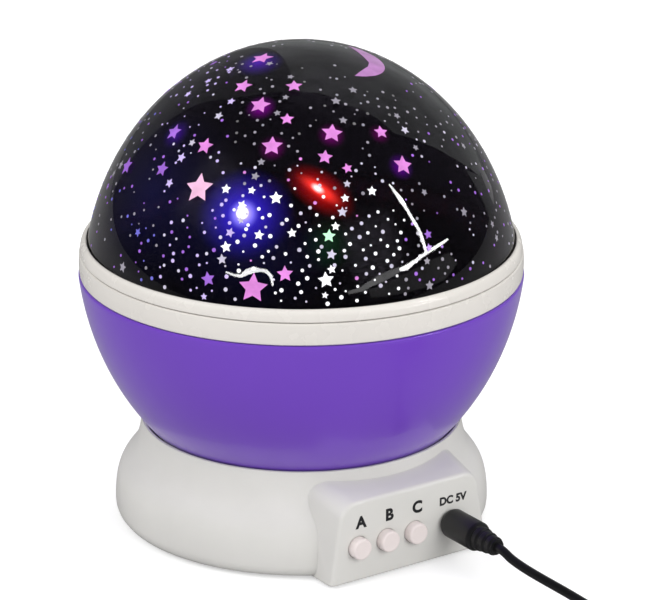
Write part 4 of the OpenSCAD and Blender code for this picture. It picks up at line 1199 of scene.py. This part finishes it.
class NIGHTLIGHT_OT_sky(bpy.types.Operator):
    """Dots, stars and a crescent moon printed on the dome"""

    bl_idname = "nightlight.sky"
    bl_label = "Printed sky"

    def execute(self, context):
        s = self.shape = context.scene.nightlight_shape
        self.ink = context.scene.nightlight_print
        self.verts, self.faces, self.tones = [], [], []
        rng = random.Random(7)
        busy = []
        for px, py, size, tone in MAIN_STARS:
            centre = on_dome(s, px, py)
            busy.append((centre, size * MM + CLEAR_OF_STAR))
            self.star(centre, size * MM, self.upright(centre) + rng.uniform(-STAR_LEAN, STAR_LEAN),
                      tone)
        moon = on_dome(s, *MOON_PX)
        busy.append((moon, MOON_W / 2))
        self.moon(moon)
        self.scatter(rng, busy)
        sky = new_object("sky_print", self.verts, self.faces, 20.0)
        place(sky, [ink_with_painted_glow(tone) for tone in SKY_TONES], "dome", "dome_plastic")
        for face, tone in zip(sky.data.polygons, self.tones):
            face.material_index = tone
        return {"FINISHED"}

    def settle(self, point, height):
        """Drops a point onto the dome's outside, then lifts it by the height."""
        s = self.shape
        size, mid = Vector((s.dome_a, s.dome_a, s.dome_c)), s.dome_mid_z * UP
        offset = point - mid
        scaled = Vector([p / d for p, d in zip(offset, size)]).normalized()
        flat = scaled * size + mid
        return flat + dome_frame(s, flat)[0] * height

    def patch(self, centre, outline, rings, tone):
        """A closed thin patch of ink with the outline, bent to the dome."""
        out, side, up = dome_frame(self.shape, centre)
        n = len(outline)
        base = len(self.verts)
        for height in (self.ink.proud, -INK_SUNK):
            self.verts.append(self.settle(centre, height))
            for level in spaced(0, 1, rings)[1:]:
                self.verts += [self.settle(centre + level * (u * side + v * up), height)
                               for u, v in outline]
        layer = 1 + n * rings
        count = len(self.faces)
        pairs = [(k, (k + 1) % n) for k in range(n)]
        for start, way in ((base, 1), (base + layer, -1)):
            for k, after in pairs:
                self.faces.append([start, start + 1 + k, start + 1 + after][::way])
                for ring in range(rings - 1):
                    a = start + 1 + ring * n
                    self.faces.append([a + k, a + n + k, a + n + after, a + after][::way])
        edge = base + 1 + n * (rings - 1)
        for k, after in pairs:
            self.faces.append([edge + k, edge + layer + k, edge + layer + after, edge + after])
        self.tones += [list(SKY_TONES).index(tone)] * (len(self.faces) - count)

    def upright(self, centre):
        """The turn that makes a star on the dome stand upright in the photograph."""
        out, side, up = dome_frame(self.shape, centre)
        rise = camera_ray(AXIS_PX, 0)[1] - camera_ray(AXIS_PX, PHOTO_H)[1]
        return math.degrees(math.atan2(-rise.dot(side), rise.dot(up)))

    def star(self, centre, radius, turn, tone):
        outline = []
        for k in range(10):
            r = radius if k % 2 == 0 else radius * STAR_INNER
            a = math.radians(90 + turn + 36 * k)
            outline.append((r * math.cos(a), r * math.sin(a)))
        self.patch(centre, outline, 2 if radius > BENT_STAR_R else 1, tone)

    def moon(self, centre):
        """A crescent between two arcs, its back low and to the right."""
        steps = 20
        half = MOON_W / 2
        lean = math.radians(MOON_LEAN)
        outline = []
        for depth, way in ((MOON_BACK, 1), (MOON_HOLLOW, -1)):
            radius = (half**2 + depth**2) / (2 * depth)
            for k in range(steps):
                along = -way * half * math.cos(math.pi * k / steps)
                down = math.sqrt(radius**2 - along**2) - (radius - depth)
                outline.append((MOON_U + along * math.cos(lean) + down * math.sin(lean),
                                MOON_V + along * math.sin(lean) - down * math.cos(lean)))
        self.patch(centre, outline, 8, "moon")

    def scatter(self, rng, busy):
        """Small stars and dots all over the dome, most low at the front, clear of large ones;
        painted light sets how many, how large and how pale.
        """
        s, ink = self.shape, self.ink
        lowest = (DOME_LOW.z + PRINT_FOOT - s.dome_mid_z) / s.dome_c
        for i in range(ink.places):
            h = lowest + (PRINT_TOP - lowest) * (i + 0.5) / ink.places
            h = min(max(h + rng.uniform(-STRAY_UP, STRAY_UP), lowest), PRINT_END)
            a = i * GOLDEN_ANGLE + rng.uniform(-STRAY_ROUND, STRAY_ROUND)
            r = s.dome_a * math.sqrt(1 - h * h)
            centre = Vector((r * math.cos(a), r * math.sin(a), s.dome_mid_z + s.dome_c * h))
            if any((centre - spot).length < gap for spot, gap in busy):
                continue
            # Painted light and shade: where lamp light is taken to fall, the print is denser,
            # larger and paler.
            painted_light = self.painted_light(centre)
            if rng.random() > DARK_SHARE + (1 - DARK_SHARE) * painted_light:
                continue
            tone = self.tone_at(centre, painted_light, rng)
            if i % ink.every == 0:
                size = ink.star_r * rng.uniform(*STAR_SIZES)
                self.star(centre, size, rng.uniform(-SMALL_LEAN, SMALL_LEAN), tone)
            else:
                size = ink.dot_r * rng.choice(DOT_SIZES) * (DARK_SIZE + (1 - DARK_SIZE) * painted_light)
                self.patch(centre, circle(size, DOT_SIDES), 1, tone)

    def painted_light(self, centre):
        """Painted light: how much lamp light is taken to reach a place, 1 low at the front, 0 at
        the crown and behind.
        """
        front = centre.dot(around(-2, 1.0, 0)) / self.shape.dome_a
        height = (centre.z - DOME_LOW.z) / (DOME_HIGH.z - DOME_LOW.z)
        return min(max((front - 0.55) / 0.3, 0), 1) * min(max((0.80 - height) / 0.40, 0), 1)

    def tone_at(self, centre, painted_light, rng):
        """Painted light: white where the lamps reach, violet and blue to the left, grey elsewhere.
        """
        left = centre.dot(around(-90, 1.0, 0)) / self.shape.dome_a
        pick = rng.random()
        where = (left > 0.62, left > 0.3, left < -0.45, painted_light > 0.45, painted_light > 0.12, True)
        return next(tone for share, tone in SHARES[where.index(True)] if pick < share)


# ---------------------------------------------------------------- lamps and inner parts

# The LEDs: colour, glow of the lens, and power of the light that they throw.
LEDS = {
    "led_blue": ((0.06, 0.10, 1.0), 0.14, 0.006),
    "led_red": ((1.0, 0.03, 0.03), 0.10, 0.004),
    "led_green": ((0.05, 1.0, 0.25), 0.05, 0.001),
    "led_white": ((1.0, 0.85, 0.6), 0.0, 0.0),
}
LIGHT_R, LIGHT_OVER_LED = 2.0 * MM, 3.5 * MM


class NIGHTLIGHT_OT_lamps(bpy.types.Operator):
    """The lit LEDs in the dome and the light that they throw on the board"""

    bl_idname = "nightlight.lamps"
    bl_label = "LEDs"

    def execute(self, context):
        for node, (tone, strength, power) in LEDS.items():
            low, high = size_of(node)
            dress(self.lens(node, tone, strength, low.z, high.z), node)
            if power > 0:
                lamp = bpy.data.lights.new(node + "_light", "POINT")
                lamp.energy = power
                lamp.color = tone
                lamp.shadow_soft_size = LIGHT_R
                obj = linked(node + "_light", lamp)
                obj.location = (*middle_of(node)[:2], high.z + LIGHT_OVER_LED)
                hide_from(obj, "camera", "glossy", "transmission")
        return {"FINISHED"}

    def lens(self, node, tone, strength, low, high):
        """Clear coloured epoxy; lit ones glow strongest towards the tip."""
        n = Nodes(bpy.data.materials.new(node + "_lens"))
        n.paint({"Base Color": shade([0.4 + 0.6 * c for c in tone], 0.12), "Roughness": 0.12})
        if strength:
            height = n.add("SeparateXYZ", {"Vector": n.place()}).outputs["Z"]
            tip = shade([0.5 + 0.5 * c for c in tone], 1.0)
            rise = n.span(height, 0.0, 1.0, low, high)
            n.paint({"Emission Color": n.ramp(rise, shade(tone, 0.8), tip, 0.3, 1.0),
                     "Emission Strength": strength})
        return n.owner


class NIGHTLIGHT_OT_inside(bpy.types.Operator):
    """Finishes of the parts inside and underneath"""

    bl_idname = "nightlight.inside"
    bl_label = "Inner parts"

    def execute(self, context):
        dress(metal("screw_steel", (0.60, 0.60, 0.62), 0.30), "cover_screws", "board_screws",
              "motor", "motor_screws", "gear_axles", "door_pin", "hub_screws", "motor_shaft",
              "door_screw", "column_ring")
        dress(metal("contact_nickel", (0.72, 0.71, 0.69), 0.25), "battery_contacts")
        dress(metal("pinion_brass", (0.80, 0.58, 0.24), 0.28), "motor_pinion")
        dress(plastic("inner_white", (0.78, 0.78, 0.75), 0.5, grain=0.03),
              "column", "column_nut", "hub_gear", "gear_1", "gear_2")
        dress(plastic("deck_dark", (0.05, 0.05, 0.055), 0.5), "reflector_deck")
        dress(plastic("board_dark", (0.10, 0.10, 0.11), 0.45), "led_board")
        dress(plastic("board_green", (0.02, 0.17, 0.07), 0.35, spread=0.15), "control_board")
        dress(plastic("black_plastic", (0.02, 0.02, 0.022), 0.4, spread=0.1),
              "switch_bodies", "dc_jack")
        dress(plastic("wire_blue", (0.03, 0.07, 0.45), 0.4), "wiring")
        return {"FINISHED"}


# ---------------------------------------------------------------- panel and registration

STEPS = ("stage", "lead", "base", "buttons", "ball", "dome", "sky", "lamps", "inside")
GROUPS = {
    "nightlight_shape": NightLightShape,
    "nightlight_print": NightLightPrint,
    "nightlight_colours": NightLightColours,
}


class NIGHTLIGHT_PT_panel(bpy.types.Panel):
    """Lists the night light's pieces in the sidebar"""

    bl_label = "Night Light"
    bl_idname = "NIGHTLIGHT_PT_panel"
    bl_space_type = "VIEW_3D"
    bl_region_type = "UI"
    bl_category = "Night Light"

    def draw(self, context):
        for step in STEPS:
            self.layout.operator("nightlight." + step)
        for group in GROUPS:
            box = self.layout.box()
            for name in GROUPS[group].__annotations__:
                box.prop(getattr(context.scene, group), name)


CLASSES = (
    *GROUPS.values(), NIGHTLIGHT_OT_stage, NIGHTLIGHT_OT_lead, NIGHTLIGHT_OT_base,
    NIGHTLIGHT_OT_buttons, NIGHTLIGHT_OT_ball, NIGHTLIGHT_OT_dome, NIGHTLIGHT_OT_sky,
    NIGHTLIGHT_OT_lamps, NIGHTLIGHT_OT_inside, NIGHTLIGHT_PT_panel,
)


def register():
    for item in CLASSES:
        bpy.utils.register_class(item)
    for name, group in GROUPS.items():
        setattr(bpy.types.Scene, name, PointerProperty(type=group))


def unregister():
    for name in reversed(GROUPS):
        delattr(bpy.types.Scene, name)
    for item in reversed(CLASSES):
        bpy.utils.unregister_class(item)


def main():
    """Makes every piece in order."""
    register()
    for step in STEPS:
        if getattr(bpy.ops.nightlight, step)() != {"FINISHED"}:
            raise RuntimeError(step + " did not finish")
    bpy.context.view_layer.update()


if __name__ == "__main__":
    main()
